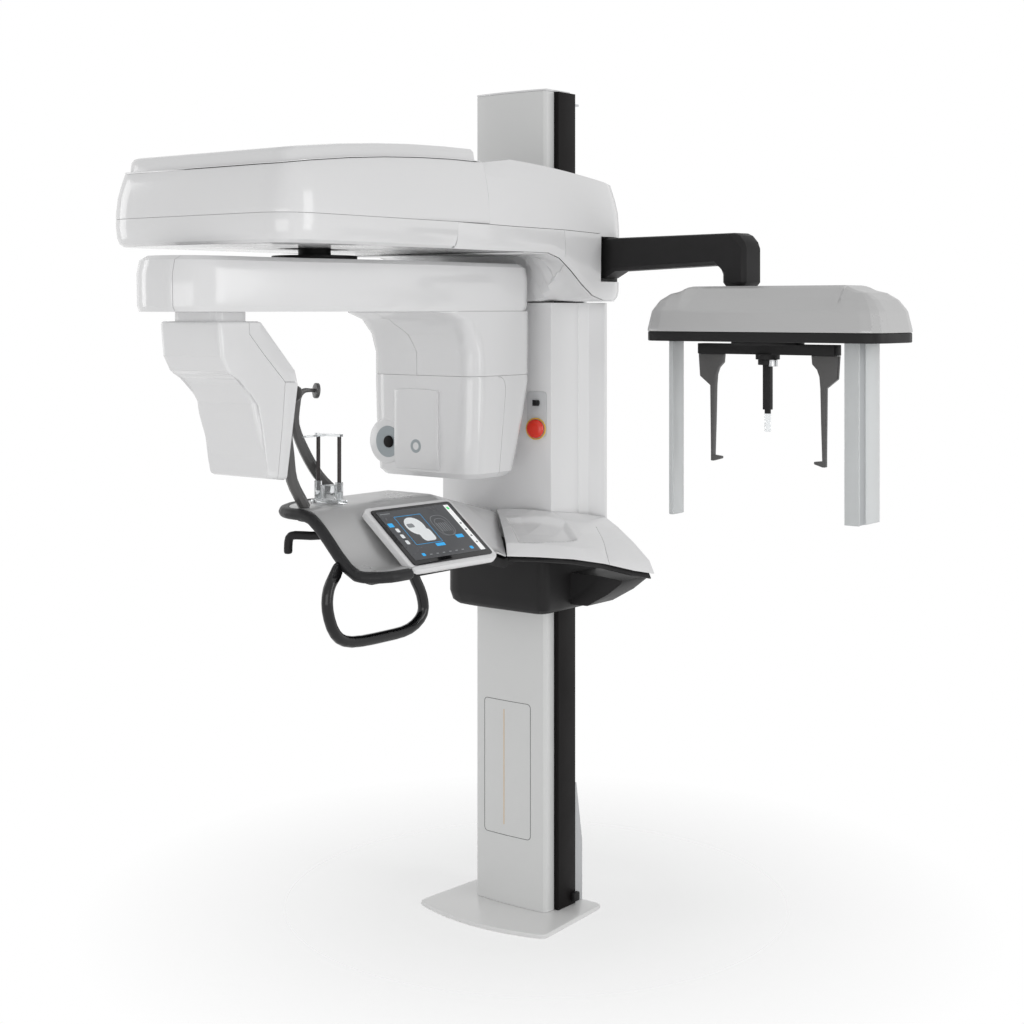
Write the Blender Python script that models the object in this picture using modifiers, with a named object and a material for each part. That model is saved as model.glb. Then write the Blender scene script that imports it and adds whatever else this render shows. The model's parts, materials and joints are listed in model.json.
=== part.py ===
"""Dental panoramic X-ray machine with a cephalometric arm, as separate pieces at their real size.

Metres, +Z up, origin on the floor under the mast. The patient stands on the -Y side, the wall is at +Y
and the cephalometric arm reaches out along +X.
"""
import math

import bmesh
import bpy
from mathutils import Matrix, Vector

# ---- fits
GAP = 0.0003            # between pieces that touch
RUN = 0.0006            # radial clearance of a shaft in a hole
PLAY = 0.004            # between a moving shell and what it passes

# ---- mast and base
MAST_HEIGHT = 2.30
MAST_WIDTH = 0.250
MAST_FRONT = -0.127
MAST_BACK = -0.060
MAST_WALL = 0.005
COVER_WALL = 0.0035
CHANNEL_REACH = 0.015   # from the post's side to the outside of a black side channel
CHANNEL_OUT = MAST_WIDTH / 2 + CHANNEL_REACH
CHANNEL_FRONT = -0.080
BASE_THICKNESS = 0.012
BASE_HALF = 0.222
BASE_FRONT = -0.295
BASE_BACK = 0.040
CAP_THICKNESS = 0.006
RAIL_X = 0.085
RAIL_WIDTH = 0.020
RAIL_DEPTH = 0.018
RAIL_LOW = 0.25
SCREW_Y = -0.030
SCREW_RADIUS = 0.010
MOTOR_LOW = 0.100
MOTOR_HEIGHT = 0.130
WALL_Y = 0.045
BRACKET_Z = 2.262

# ---- carriage and column cover
PLATE_Y = 0.004
PLATE_DEPTH = 0.0157
COLUMN_HALF = 0.193
COLUMN_FRONT = -0.210
COLUMN_CORNER = -0.185
COLUMN_SEAM_Y = -0.060
COLUMN_BACK = 0.024
COLUMN_BACK_HALF = 0.232
COLUMN_LOW = 1.078
COLUMN_HIGH = 1.705
SHELL_WALL = 0.004
MAST_CLEARANCE = 0.010
MAST_CLEAR_X = CHANNEL_OUT + MAST_CLEARANCE
MAST_CLEAR_FRONT = -0.142
FRAME_THICKNESS = 0.015
LOWER_FRAME_Z = 1.040
UPPER_FRAME_Z = 1.930

# ---- head
AXIS_Y = -0.900
HEAD_HALF = 0.312
HEAD_FRONT = -1.305
HEAD_BACK = 0.026
HEAD_SEAM_Y = -0.600
HEAD_LOWER_SEAM_Y = -0.722
HEAD_LOW = 1.835
HEAD_SEAM_Z = 1.900
HEAD_SHOULDER = 1.986
HEAD_TOP = 2.008
LID_TOP = 2.043
CROWN = 0.045           # how much the top swells lengthwise, halfway along
CROWN_Y = -0.640
CROWN_REACH = 0.640
LID_INSET = 0.022
SKIRT_LOW = 1.712
HEAD_CORNER = 0.100
UNDERSIDE_REACH = 0.681  # the gantry turns inside this radius, pushed back 10 mm
STAGE_TRAVEL = 0.050

# ---- gantry
BEAM_TOP = 1.808
BEAM_LOW = 1.682
BEAM_FRONT = -1.420
BEAM_FRONT_HALF = 0.120
BEAM_BACK = -0.245
BEAM_BACK_HALF = 0.188
BEAM_WIDENS_FROM = -1.150
BEAM_WIDENS_TO = -0.710
SHAFT_RADIUS = 0.040
DISC_RADIUS = 0.105
DISC_THICKNESS = 0.010
STAGE_THICKNESS = 0.012
SOURCE_FRONT = -0.505
SOURCE_LOW = 1.245
SOURCE_SEAM_Z = 1.513
SENSOR_HALF = 0.100
SENSOR_TOP = 1.660
NECK_HALF = 0.075

# ---- patient support
PLATFORM_HIGH = 1.208
PLATFORM_LOW = 1.077
SLOPE_FROM = 0.062
SLOPE_TO = 0.250
PLATFORM_LEFT = -0.078
PLATFORM_RIGHT = 0.292
PLATFORM_END = -0.990
PLATFORM_BACK = -0.545
SKIN = 0.004
CASTING_UNDER = 0.0051
CASTING_THICKNESS = 0.029
BUMPER_RADIUS = 0.011
HANDLE_X = 0.200
HANDLE_RADIUS = 0.013
SCREEN_CENTRE = (0.2256, -0.7183, 1.1392)
SCREEN_WIDTH = 0.280
SCREEN_HEIGHT = 0.193
SCREEN_GLASS = 0.003
SCREEN_BODY = 0.018
SCREEN_RIM = 0.013
SCREEN_TILT = math.radians(37.4)
SCREEN_TURN = math.radians(3.1)
ROD_X = 0.036
ROD_RADIUS = 0.005
ROD_TOP = 1.377
ROD_LOW = 1.236
BITE_Y = -0.850

# ---- lower housing and wing
TUB_CLEARANCE = 0.0065  # between the side channels and the opening they pass
TUB_LEFT = -(CHANNEL_OUT + 0.020)
TUB_RIGHT = 0.200
TUB_FRONT = -0.225
TUB_LOW = 0.855
TUB_HIGH = 1.030

# ---- switches
SWITCH_X = 0.152
ESTOP_Z = 1.362
ROCKER_Z = 1.432
ESTOP_RADIUS = 0.0215
ESTOP_TRAVEL = 0.004
ROCKER_RADIUS = 0.008

# ---- cephalometric arm
ARM_CLEARANCE = 0.018    # between the side channel and the root of the ceph arm
ARM_START = (CHANNEL_OUT + ARM_CLEARANCE, -0.034)
ARM_TURN = math.radians(-10.4)
ARM_REACH = 0.655
ARM_WIDTH = 0.072
ARM_LOW = 1.790
ARM_HIGH = 1.880
CEPH_X = 0.870
CEPH_Y = -0.200
CEPH_SHELL_X = 0.893
CEPH_HALF_LENGTH = 0.328
CEPH_HALF_DEPTH = 0.105
CEPH_TOP = 1.745
CEPH_RIM = 1.632
CEPH_LOW = 1.608
HOLDER_DISC_RADIUS = 0.090
HOLDER_DISC = 0.008
BAR_HALF = 0.193
BAR_HEIGHT = 0.024
EAR_X = 0.150
EAR_LOW = 1.312
NASAL_LOW = 1.385
PANEL_LOW = 1.178

parts = bpy.data.collections.new("panoramic_xray_machine")
tools = bpy.data.collections.new("cutters")


# ---- helpers ---------------------------------------------------------------------------------------

def clear_scene():
    """Remove whatever the file holds, then link the two collections."""
    for old in list(bpy.data.objects):
        bpy.data.objects.remove(old, do_unlink=True)
    bpy.context.scene.collection.children.link(parts)
    bpy.context.scene.collection.children.link(tools)


def material(name, colour, roughness=0.4, metallic=0.0):
    """A Principled material, made once and shared by name."""
    found = bpy.data.materials.get(name)
    if found:
        return found
    made = bpy.data.materials.new(name)
    made.use_nodes = True
    shader = made.node_tree.nodes["Principled BSDF"]
    shader.inputs["Base Color"].default_value = (*colour, 1.0)
    shader.inputs["Roughness"].default_value = roughness
    shader.inputs["Metallic"].default_value = metallic
    return made


def gloss_white():
    return material("gloss_white", (0.86, 0.87, 0.86), 0.15)


def satin_grey():
    return material("satin_grey", (0.72, 0.73, 0.73), 0.35)


def matte_black():
    return material("matte_black", (0.03, 0.03, 0.033), 0.45)


def gloss_black():
    return material("gloss_black", (0.01, 0.01, 0.012), 0.12)


def steel():
    return material("steel", (0.62, 0.63, 0.65), 0.3, 1.0)


def aluminium():
    return material("aluminium", (0.75, 0.76, 0.77), 0.4, 1.0)


def clear_plastic():
    return material("clear_plastic", (0.88, 0.92, 0.94), 0.08)


def keep(thing, name, finish):
    """Put an object in the machine under its final name and give it its material."""
    for home in list(thing.users_collection):
        home.objects.unlink(thing)
    parts.objects.link(thing)
    thing.name = name
    thing.data.name = name
    thing.data.materials.clear()
    thing.data.materials.append(finish)
    return thing


def as_cutter(thing):
    """Move an object to the cutters, which are never part of the machine."""
    for home in list(thing.users_collection):
        home.objects.unlink(thing)
    tools.objects.link(thing)
    thing.hide_render = True
    thing.display_type = "WIRE"
    return thing


def cut(target, cutter, operation="DIFFERENCE"):
    """Cut one object with another, or join them, with the exact solver."""
    as_cutter(cutter)
    step = target.modifiers.new(operation.title(), "BOOLEAN")
    step.operation = operation
    step.object = cutter
    step.solver = "EXACT"
    return target


def round_edges(target, width, segments=2, angle=30.0):
    """Round every edge sharper than the angle."""
    step = target.modifiers.new("Rounded", "BEVEL")
    step.width = width
    step.segments = segments
    step.limit_method = "ANGLE"
    step.angle_limit = math.radians(angle)
    return target


def smooth(target, angle=35.0):
    target.data.shade_smooth()
    target.data.set_sharp_from_angle(angle=math.radians(angle))
    return target


def new_mesh(name, build):
    """An object whose mesh a function fills through bmesh."""
    mesh = bpy.data.meshes.new(name)
    work = bmesh.new()
    build(work)
    work.to_mesh(mesh)
    work.free()
    made = bpy.data.objects.new(name, mesh)
    parts.objects.link(made)
    return made


def box(name, low, high):
    """A box between two corners, with its origin at its centre."""
    size = [b - a for a, b in zip(low, high)]
    centre = [(a + b) / 2 for a, b in zip(low, high)]
    shape = Matrix.Diagonal((*size, 1.0))
    made = new_mesh(name, lambda work: bmesh.ops.create_cube(work, size=1.0, matrix=shape))
    made.location = centre
    return made


def cylinder(name, radius, low, high, centre=(0.0, 0.0), sides=32):
    """An upright cylinder from one height to another."""
    made = new_mesh(name, lambda work: bmesh.ops.create_cone(
        work, cap_ends=True, segments=sides, radius1=radius, radius2=radius, depth=high - low))
    made.location = (centre[0], centre[1], (low + high) / 2)
    return made


def rounded(points, radius, steps=4):
    """A closed outline with round corners; radius is one number or one for each corner."""
    radii = radius if isinstance(radius, (list, tuple)) else [radius] * len(points)
    out = []
    count = len(points)
    for i in range(count):
        here = Vector(points[i])
        before = Vector(points[i - 1]) - here
        after = Vector(points[(i + 1) % count]) - here
        half = before.angle(after) / 2
        reach = min(radii[i] / math.tan(half), 0.49 * before.length, 0.49 * after.length)
        if reach < 1e-5:
            out.append((here.x, here.y))
            continue
        start = here + before.normalized() * reach
        end = here + after.normalized() * reach
        for k in range(steps + 1):
            t = k / steps
            bend = start * (1 - t) ** 2 + here * 2 * t * (1 - t) + end * t ** 2
            out.append((bend.x, bend.y))
    return out


def curve_to_mesh(thing):
    """Turn a curve object into a closed mesh object at the same place."""
    bpy.context.view_layer.update()
    graph = bpy.context.evaluated_depsgraph_get()
    mesh = bpy.data.meshes.new_from_object(thing.evaluated_get(graph))
    work = bmesh.new()
    work.from_mesh(mesh)
    bmesh.ops.remove_doubles(work, verts=work.verts, dist=0.00002)
    bmesh.ops.recalc_face_normals(work, faces=work.faces)
    work.to_mesh(mesh)
    work.free()
    made = bpy.data.objects.new(thing.name, mesh)
    parts.objects.link(made)
    made.matrix_world = thing.matrix_world.copy()
    bpy.data.objects.remove(thing, do_unlink=True)
    return made


def slab(name, outline, low, high, holes=()):
    """A flat outline in plan, extruded from one height to another."""
    shape = bpy.data.curves.new(name, "CURVE")
    shape.dimensions = "2D"
    shape.fill_mode = "BOTH"
    shape.extrude = (high - low) / 2
    for points in (outline, *holes):
        spline = shape.splines.new("POLY")
        spline.points.add(len(points) - 1)
        for point, (x, y) in zip(spline.points, points):
            point.co = (x, y, 0.0, 1.0)
        spline.use_cyclic_u = True
    thing = bpy.data.objects.new(name, shape)
    parts.objects.link(thing)
    thing.location.z = (low + high) / 2
    return curve_to_mesh(thing)


def side_slab(name, profile, x_low, x_high):
    """A side outline in (y, z), extruded along X."""
    made = slab(name, profile, x_low, x_high)
    made.matrix_world = Matrix(((0, 0, 1, 0), (1, 0, 0, 0), (0, 1, 0, 0), (0, 0, 0, 1))) @ made.matrix_world
    return made


def front_slab(name, profile, y_low, y_high):
    """A front outline in (x, z), extruded along Y."""
    made = slab(name, profile, -y_high, -y_low)
    made.matrix_world = Matrix(((1, 0, 0, 0), (0, 0, -1, 0), (0, 1, 0, 0), (0, 0, 0, 1))) @ made.matrix_world
    return made


def tube(name, points, radius, widths=None, resolution=3):
    """A round bar along a smooth path; widths scale the radius at each point."""
    shape = bpy.data.curves.new(name, "CURVE")
    shape.dimensions = "3D"
    shape.bevel_depth = radius
    shape.bevel_resolution = resolution
    shape.use_fill_caps = True
    spline = shape.splines.new("POLY")
    spline.points.add(len(points) - 1)
    for i, point in enumerate(spline.points):
        point.co = (*points[i], 1.0)
        point.radius = widths[i] if widths else 1.0
    thing = bpy.data.objects.new(name, shape)
    parts.objects.link(thing)
    return smooth(curve_to_mesh(thing), 50.0)


def smooth_path(points, per_span=4):
    """Points read from a smooth curve through the given ones."""
    ends = [points[0], *points, points[-1]]
    out = []
    for i in range(1, len(ends) - 2):
        a, b, c, d = (Vector(p) for p in ends[i - 1:i + 3])
        for k in range(per_span):
            t = k / per_span
            out.append(0.5 * (2 * b + (c - a) * t + (2 * a - 5 * b + 4 * c - d) * t ** 2
                              + (3 * b - a - 3 * c + d) * t ** 3))
    out.append(Vector(points[-1]))
    return out


def skin(name, rows, closed=False, cap_start=False, cap_end=False):
    """A surface through rows of points, all with the same count."""
    def build(work):
        rings = [[work.verts.new(p) for p in row] for row in rows]
        count = len(rings[0])
        spans = count if closed else count - 1
        for first, second in zip(rings, rings[1:]):
            for i in range(spans):
                j = (i + 1) % count
                work.faces.new((first[i], first[j], second[j], second[i]))
        if cap_start:
            work.faces.new(list(reversed(rings[0])))
        if cap_end:
            work.faces.new(rings[-1])
        bmesh.ops.recalc_face_normals(work, faces=work.faces)
    return new_mesh(name, build)


def thicken(target, wall, even=True):
    """Give an open surface its wall, on the inside."""
    step = target.modifiers.new("Wall", "SOLIDIFY")
    step.thickness = wall
    step.offset = -1.0
    step.use_even_offset = even
    return target


def facing(target, point_inside):
    """Turn an open surface so that its normals point away from a point inside it."""
    mesh = target.data
    total = 0.0
    for face in mesh.polygons:
        total += (face.center - Vector(point_inside)).dot(face.normal) * face.area
    if total < 0:
        mesh.flip_normals()
    return target


def inset_ring(outline, amount, z):
    """An outline moved inwards by an amount, at a height."""
    count = len(outline)
    area = sum(outline[i - 1][0] * outline[i][1] - outline[i][0] * outline[i - 1][1] for i in range(count))
    side = 1.0 if area > 0 else -1.0
    ring = []
    for i in range(count):
        before = Vector(outline[i - 1])
        after = Vector(outline[(i + 1) % count])
        along = (after - before).normalized()
        inward = Vector((-along.y, along.x)) * side
        ring.append((outline[i][0] + inward.x * amount, outline[i][1] + inward.y * amount, z))
    return ring


def empty_at(name, location):
    """A parent empty on a joint's axis."""
    made = bpy.data.objects.new(name, None)
    parts.objects.link(made)
    made.location = location
    return made


def hang_on(parent, *children):
    """Parent pieces to an empty and leave them where they are."""
    bpy.context.view_layer.update()
    for child in children:
        child.parent = parent
        child.matrix_parent_inverse = parent.matrix_world.inverted()


# ---- fixed column ----------------------------------------------------------------------------------

def bowed_front(half, front, corner, steps=8):
    """Points from left to right along a face that is bowed forwards in the middle."""
    xs = [-half + 2 * half * i / steps for i in range(steps + 1)]
    return [(x, front + (corner - front) * (x / half) ** 2) for x in xs]


def make_base():
    front = bowed_front(BASE_HALF, BASE_FRONT, BASE_FRONT + 0.042, 10)
    outline = rounded(front + [(BASE_HALF - 0.018, BASE_BACK), (-BASE_HALF + 0.018, BASE_BACK)],
                      [0.022] + [0.0] * 9 + [0.022, 0.02, 0.02], 3)
    plate = slab("base_plate", outline, 0.0, BASE_THICKNESS)
    keep(plate, "base_plate", gloss_white())


def make_mast():
    low = BASE_THICKNESS + GAP
    high = MAST_HEIGHT - CAP_THICKNESS - GAP
    half = MAST_WIDTH / 2
    inside = half - COVER_WALL - 0.0035
    front = MAST_FRONT + 0.016
    tube_outline = [(-inside, front), (inside, front), (inside, MAST_BACK), (-inside, MAST_BACK)]
    core = inside - MAST_WALL
    hollow = [(-core, front + MAST_WALL), (core, front + MAST_WALL),
              (core, MAST_BACK - MAST_WALL), (-core, MAST_BACK - MAST_WALL)]
    keep(slab("mast_extrusion", tube_outline, low, high, [hollow]), "mast_extrusion", aluminium())

    face = bowed_front(half - 0.008, MAST_FRONT, MAST_FRONT + 0.006, 6)
    outer = ([(-half, CHANNEL_FRONT - GAP), (-half, MAST_FRONT + 0.014)] + face
             + [(half, MAST_FRONT + 0.014), (half, CHANNEL_FRONT - GAP)])
    shrink = (half - COVER_WALL) / half
    inner = [(x * shrink, y + COVER_WALL) for x, y in outer[1:-1]]
    inner = [(-half + COVER_WALL, CHANNEL_FRONT - GAP)] + inner + [(half - COVER_WALL, CHANNEL_FRONT - GAP)]
    keep(slab("mast_front_cover", outer + inner[::-1], low, high), "mast_front_cover", satin_grey())

    for side, word in ((-1, "left"), (1, "right")):
        wall = 0.004
        near = inside + GAP
        channel = [(near, CHANNEL_FRONT), (CHANNEL_OUT, CHANNEL_FRONT), (CHANNEL_OUT, 0.0), (near, 0.0),
                   (near, -wall), (CHANNEL_OUT - wall, -wall), (CHANNEL_OUT - wall, CHANNEL_FRONT + wall),
                   (near, CHANNEL_FRONT + wall)]
        piece = slab("channel", [(side * x, y) for x, y in channel], low, high)
        keep(piece, "side_channel_" + word, matte_black())

    cap_front = bowed_front(half, MAST_FRONT + 0.002, MAST_FRONT + 0.012, 6)
    cap = slab("cap", cap_front + [(half, -0.004), (-half, -0.004)],
               MAST_HEIGHT - CAP_THICKNESS, MAST_HEIGHT)
    keep(cap, "mast_top_cap", gloss_white())


def make_lift():
    for side, word in ((-1, "left"), (1, "right")):
        x = side * RAIL_X
        waist = RAIL_WIDTH / 2 - 0.003
        back = MAST_BACK + GAP
        top = back + RAIL_DEPTH
        half = RAIL_WIDTH / 2
        outline = [(x - half, back), (x + half, back), (x + half, back + 0.006), (x + waist, back + 0.009),
                   (x + half, back + 0.012), (x + half, top), (x - half, top), (x - half, back + 0.012),
                   (x - waist, back + 0.009), (x - half, back + 0.006)]
        keep(slab("rail", outline, RAIL_LOW, BRACKET_Z - 0.01), "guide_rail_" + word, steel())

    motor_radius = SCREW_Y - MAST_BACK - GAP
    motor = cylinder("motor", motor_radius, MOTOR_LOW, MOTOR_LOW + MOTOR_HEIGHT, (0.0, SCREW_Y), 24)
    keep(round_edges(motor, 0.003), "lift_motor", matte_black())
    screw = cylinder("screw", SCREW_RADIUS, MOTOR_LOW + MOTOR_HEIGHT + GAP, BRACKET_Z - GAP,
                     (0.0, SCREW_Y), 16)
    keep(smooth(screw), "lift_screw", steel())


def make_back_pieces():
    inner = MAST_WIDTH / 2 - COVER_WALL - 0.0035 - 0.001
    tongue = [(-inner, MAST_BACK + GAP), (inner, MAST_BACK + GAP), (inner, 0.001), (0.130, 0.003),
              (0.130, 0.030), (0.060, WALL_Y - 0.002), (-0.060, WALL_Y - 0.002), (-0.130, 0.030),
              (-0.130, 0.003), (-inner, 0.001)]
    bracket = slab("bracket", tongue, BRACKET_Z, BRACKET_Z + 0.006)
    flange = box("flange", (-0.075, WALL_Y - 0.0055, BRACKET_Z - 0.006), (0.075, WALL_Y, BRACKET_Z + 0.012))
    keep(cut(bracket, flange, "UNION"), "wall_bracket", steel())

    low = BASE_THICKNESS + GAP
    outside = [(GAP, low), (0.038, low), (0.038, 0.180), (0.010, 0.350), (GAP, 0.350)]
    cover = side_slab("cover", outside, -0.134, 0.137)
    wall = 0.003
    inside = [(GAP - 0.01, low - 0.01), (0.038 - wall, low - 0.01), (0.038 - wall, 0.179), (0.006, 0.345),
              (GAP - 0.01, 0.345)]
    hollow = side_slab("hollow", inside, -0.134 + wall, 0.137 - wall)
    keep(cut(cover, hollow), "cable_cover", satin_grey())

    plug = box("plug", (CHANNEL_OUT + GAP, -0.022, 0.022), (CHANNEL_OUT + 0.013, 0.004, 0.046))
    keep(round_edges(plug, 0.002), "foot_connector", matte_black())


# ---- carriage --------------------------------------------------------------------------------------

def mast_window(open_back):
    """The space that a ring or shell leaves around the mast, in plan."""
    back = HEAD_BACK + 0.02 if open_back else PLATE_Y - 0.0015
    return [(-MAST_CLEAR_X, MAST_CLEAR_FRONT), (MAST_CLEAR_X, MAST_CLEAR_FRONT),
            (MAST_CLEAR_X, back), (-MAST_CLEAR_X, back)]


def make_carriage():
    low = LOWER_FRAME_Z + FRAME_THICKNESS + GAP
    high = UPPER_FRAME_Z - GAP
    plate = box("plate", (-0.165, PLATE_Y, low), (0.165, PLATE_Y + PLATE_DEPTH, high))
    nut = [(-0.022, SCREW_Y - 0.018), (0.022, SCREW_Y - 0.018),
           (0.022, PLATE_Y + 0.004), (-0.022, PLATE_Y + 0.004)]
    cut(plate, slab("nut", nut, 1.36, 1.42), "UNION")
    cut(plate, cylinder("nut_bore", SCREW_RADIUS + RUN, 1.34, 1.44, (0.0, SCREW_Y), 16))
    keep(plate, "carriage_plate", aluminium())

    for side, word in ((-1, "left"), (1, "right")):
        x = side * RAIL_X
        mouth = RAIL_WIDTH / 2 + RUN
        floor = MAST_BACK + 0.006
        back = PLATE_Y - GAP
        roof = MAST_BACK + GAP + RAIL_DEPTH + RUN
        outline = [(x - 0.022, floor), (x - mouth, floor), (x - mouth, roof), (x + mouth, roof),
                   (x + mouth, floor), (x + 0.022, floor), (x + 0.022, back), (x - 0.022, back)]
        keep(slab("block", outline, 1.28, 1.50), "guide_block_" + word, steel())


def make_frames():
    reach = HEAD_HALF - 0.0080
    outer = [(-reach, -1.080), (reach, -1.080), (reach, -0.100),
             (0.205, 0.0197), (-0.205, 0.0197), (-reach, -0.100)]
    slot_half = STAGE_TRAVEL + SHAFT_RADIUS + PLAY
    slot = rounded([(-SHAFT_RADIUS - PLAY, AXIS_Y - slot_half), (SHAFT_RADIUS + PLAY, AXIS_Y - slot_half),
                    (SHAFT_RADIUS + PLAY, AXIS_Y + slot_half), (-SHAFT_RADIUS - PLAY, AXIS_Y + slot_half)],
                   0.02, 2)
    frame = slab("frame", rounded(outer, 0.02, 2), UPPER_FRAME_Z, UPPER_FRAME_Z + FRAME_THICKNESS,
                 [slot, mast_window(False)])
    keep(frame, "head_frame", aluminium())
    left, side = -MAST_CLEAR_X - 0.004, CHANNEL_OUT + 0.006
    ring = [(left, -0.200), (0.180, -0.200), (0.180, 0.020), (left, 0.020)]
    window = [(min(max(x, -side), side), max(y, MAST_CLEAR_FRONT)) for x, y in mast_window(False)]
    lower = slab("lower", ring, LOWER_FRAME_Z, LOWER_FRAME_Z + FRAME_THICKNESS, [window])
    keep(lower, "support_frame", aluminium())


def make_column_covers():
    front = bowed_front(COLUMN_HALF, COLUMN_FRONT, COLUMN_CORNER, 8)
    wall = SHELL_WALL
    outer = [(-COLUMN_HALF, COLUMN_SEAM_Y - GAP)] + front + [(COLUMN_HALF, COLUMN_SEAM_Y - GAP)]
    inner_half = COLUMN_HALF - wall
    inner_front = bowed_front(inner_half, COLUMN_FRONT + wall, COLUMN_CORNER + wall, 8)
    inner = [(-inner_half, COLUMN_SEAM_Y - GAP)] + inner_front + [(inner_half, COLUMN_SEAM_Y - GAP)]
    cover = slab("cover", outer + inner[::-1], COLUMN_LOW, COLUMN_HIGH)
    keep(cover, "column_front_cover", gloss_white())

    flare = [(COLUMN_HALF, COLUMN_SEAM_Y + GAP), (COLUMN_HALF + 0.006, -0.020), (COLUMN_BACK_HALF, 0.014),
             (COLUMN_BACK_HALF, COLUMN_BACK)]
    inside = [(COLUMN_BACK_HALF - wall, COLUMN_BACK - wall), (COLUMN_BACK_HALF - wall, 0.016),
              (COLUMN_HALF + 0.006 - wall, -0.018), (COLUMN_HALF - wall, COLUMN_SEAM_Y + GAP)]
    outline = flare + [(-x, y) for x, y in reversed(flare)] + [(-x, y) for x, y in reversed(inside)] + inside
    back = slab("back", outline, COLUMN_LOW, COLUMN_HIGH)
    keep(back, "column_rear_cover", gloss_white())


# ---- head ------------------------------------------------------------------------------------------

def head_outline(back, steps=6):
    """Plan of the head from its rear edge round the front; the last two points are the rear corners."""
    corners = [(HEAD_HALF, back), (HEAD_HALF, HEAD_FRONT), (-HEAD_HALF, HEAD_FRONT), (-HEAD_HALF, back)]
    return rounded(corners, [0.0, HEAD_CORNER, HEAD_CORNER, 0.0], steps)


def crowned(x, y, z):
    """The head's upper half swells lengthwise: full height halfway, none at the front and back."""
    share = min(max((z - HEAD_SEAM_Z) / (HEAD_TOP - HEAD_SEAM_Z), 0.0), 1.0)
    swell = CROWN * (1 - ((y - CROWN_Y) / CROWN_REACH) ** 2)
    return (x, y, z + max(swell, 0.0) * share)


def crown_rows(rows):
    return [[crowned(*point) for point in row] for row in rows]


def ladder_cap(target, ring):
    """Close a ring that is mirrored about X=0 with strips from side to side."""
    work = bmesh.new()
    work.from_mesh(target.data)
    work.verts.ensure_lookup_table()
    verts = [min(work.verts, key=lambda v: (v.co - Vector(p)).length) for p in ring]
    last = len(verts) - 1
    for i in range((last + 1) // 2 - 1):
        work.faces.new((verts[i], verts[i + 1], verts[last - i - 1], verts[last - i]))
    bmesh.ops.recalc_face_normals(work, faces=work.faces)
    work.to_mesh(target.data)
    work.free()
    return target


def long_outline(back):
    """The head's plan with points along its straight sides, so that the top can swell."""
    corners = head_outline(back)
    side = [(HEAD_HALF, back + (HEAD_FRONT + HEAD_CORNER - back) * i / 5) for i in range(5)]
    middle = corners[1:-1]
    return side + middle + [(-x, y) for x, y in reversed(side)]


def make_head_front():
    plan = head_outline(HEAD_LOWER_SEAM_Y)
    levels = [(0.0, HEAD_SEAM_Z - GAP), (0.0, HEAD_SEAM_Z - 0.020), (0.003, HEAD_LOW + 0.022),
              (0.009, HEAD_LOW + 0.007), (0.020, HEAD_LOW)]
    tub = skin("tub", [inset_ring(plan, d, z) for d, z in levels], closed=True, cap_end=True)
    facing(tub, (0.0, AXIS_Y, HEAD_SEAM_Z))
    thicken(tub, SHELL_WALL)
    reach = STAGE_TRAVEL + SHAFT_RADIUS + PLAY
    side = SHAFT_RADIUS + PLAY
    slot = slab("shaft_slot", rounded([(-side, AXIS_Y - reach), (side, AXIS_Y - reach),
                                       (side, AXIS_Y + reach), (-side, AXIS_Y + reach)], 0.02, 2),
                HEAD_LOW - 0.02, HEAD_LOW + 0.02)
    floor = box("floor", (-HEAD_HALF + 0.026, HEAD_LOWER_SEAM_Y - 0.060, HEAD_LOW + 0.0005),
                (HEAD_HALF - 0.026, MAST_CLEAR_FRONT - 0.008, HEAD_LOW + SHELL_WALL - 0.0005))
    cut(tub, floor, "UNION")
    keep(cut(tub, slot), "head_lower_shell", gloss_white())

    plan = long_outline(HEAD_SEAM_Y)
    levels = [(0.0, HEAD_SEAM_Z + GAP), (0.0, HEAD_SEAM_Z + 0.012), (0.004, HEAD_SEAM_Z + 0.050),
              (0.014, HEAD_SHOULDER), (0.022, HEAD_TOP)]
    rows = [inset_ring(plan, d, z) for d, z in levels]
    for row in rows:
        row[0] = (row[1][0], HEAD_SEAM_Y, row[0][2])
        row[-1] = (row[-2][0], HEAD_SEAM_Y, row[-1][2])
    upper = skin("upper", crown_rows(rows))
    facing(upper, (0.0, AXIS_Y, HEAD_SEAM_Z))
    thicken(upper, SHELL_WALL)
    keep(smooth(upper), "head_upper_shell", gloss_white())

    inset = LID_INSET
    levels = [(inset - 0.002, HEAD_TOP + 0.0012), (inset - 0.002, HEAD_TOP + 0.0032),
              (inset + 0.012, HEAD_TOP + 0.0034), (inset + 0.015, LID_TOP - 0.010),
              (inset + 0.022, LID_TOP - 0.002), (inset + 0.037, LID_TOP)]
    back = HEAD_SEAM_Y - 0.004
    plan = long_outline(back)
    rows = [inset_ring(plan, d, z) for d, z in levels]
    for row, (d, _) in zip(rows, levels):
        behind = back - LID_INSET / 2 - (d - inset) / 3
        row[0] = (row[1][0], behind, row[0][2])
        row[-1] = (row[-2][0], behind, row[-1][2])
    rows = crown_rows(rows)
    lid = ladder_cap(skin("lid", rows, closed=True), rows[-1])
    facing(lid, (0.0, AXIS_Y, HEAD_TOP))
    thicken(lid, 0.0017, even=False)
    keep(lid, "head_top_lid", gloss_white())


def skirt_height(y):
    """Height of the underside of the rear shell, which sweeps down towards the column."""
    t = min(max((y + 0.34) / 0.25, 0.0), 1.0)
    blend = t * t * (3 - 2 * t)
    return HEAD_LOW - (HEAD_LOW - SKIRT_LOW) * blend


SKIRT_STATIONS = (-0.480, -0.400, -0.340, -0.290, -0.240, -0.190, -0.140, -0.090)


def skirt_edge(y):
    """Height of the rear shell's lower edge, which runs straight between its sections."""
    for a, b in zip(SKIRT_STATIONS, SKIRT_STATIONS[1:]):
        if a <= y <= b:
            return skirt_height(a) + (skirt_height(b) - skirt_height(a)) * (y - a) / (b - a)
    return skirt_height(y)


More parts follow.
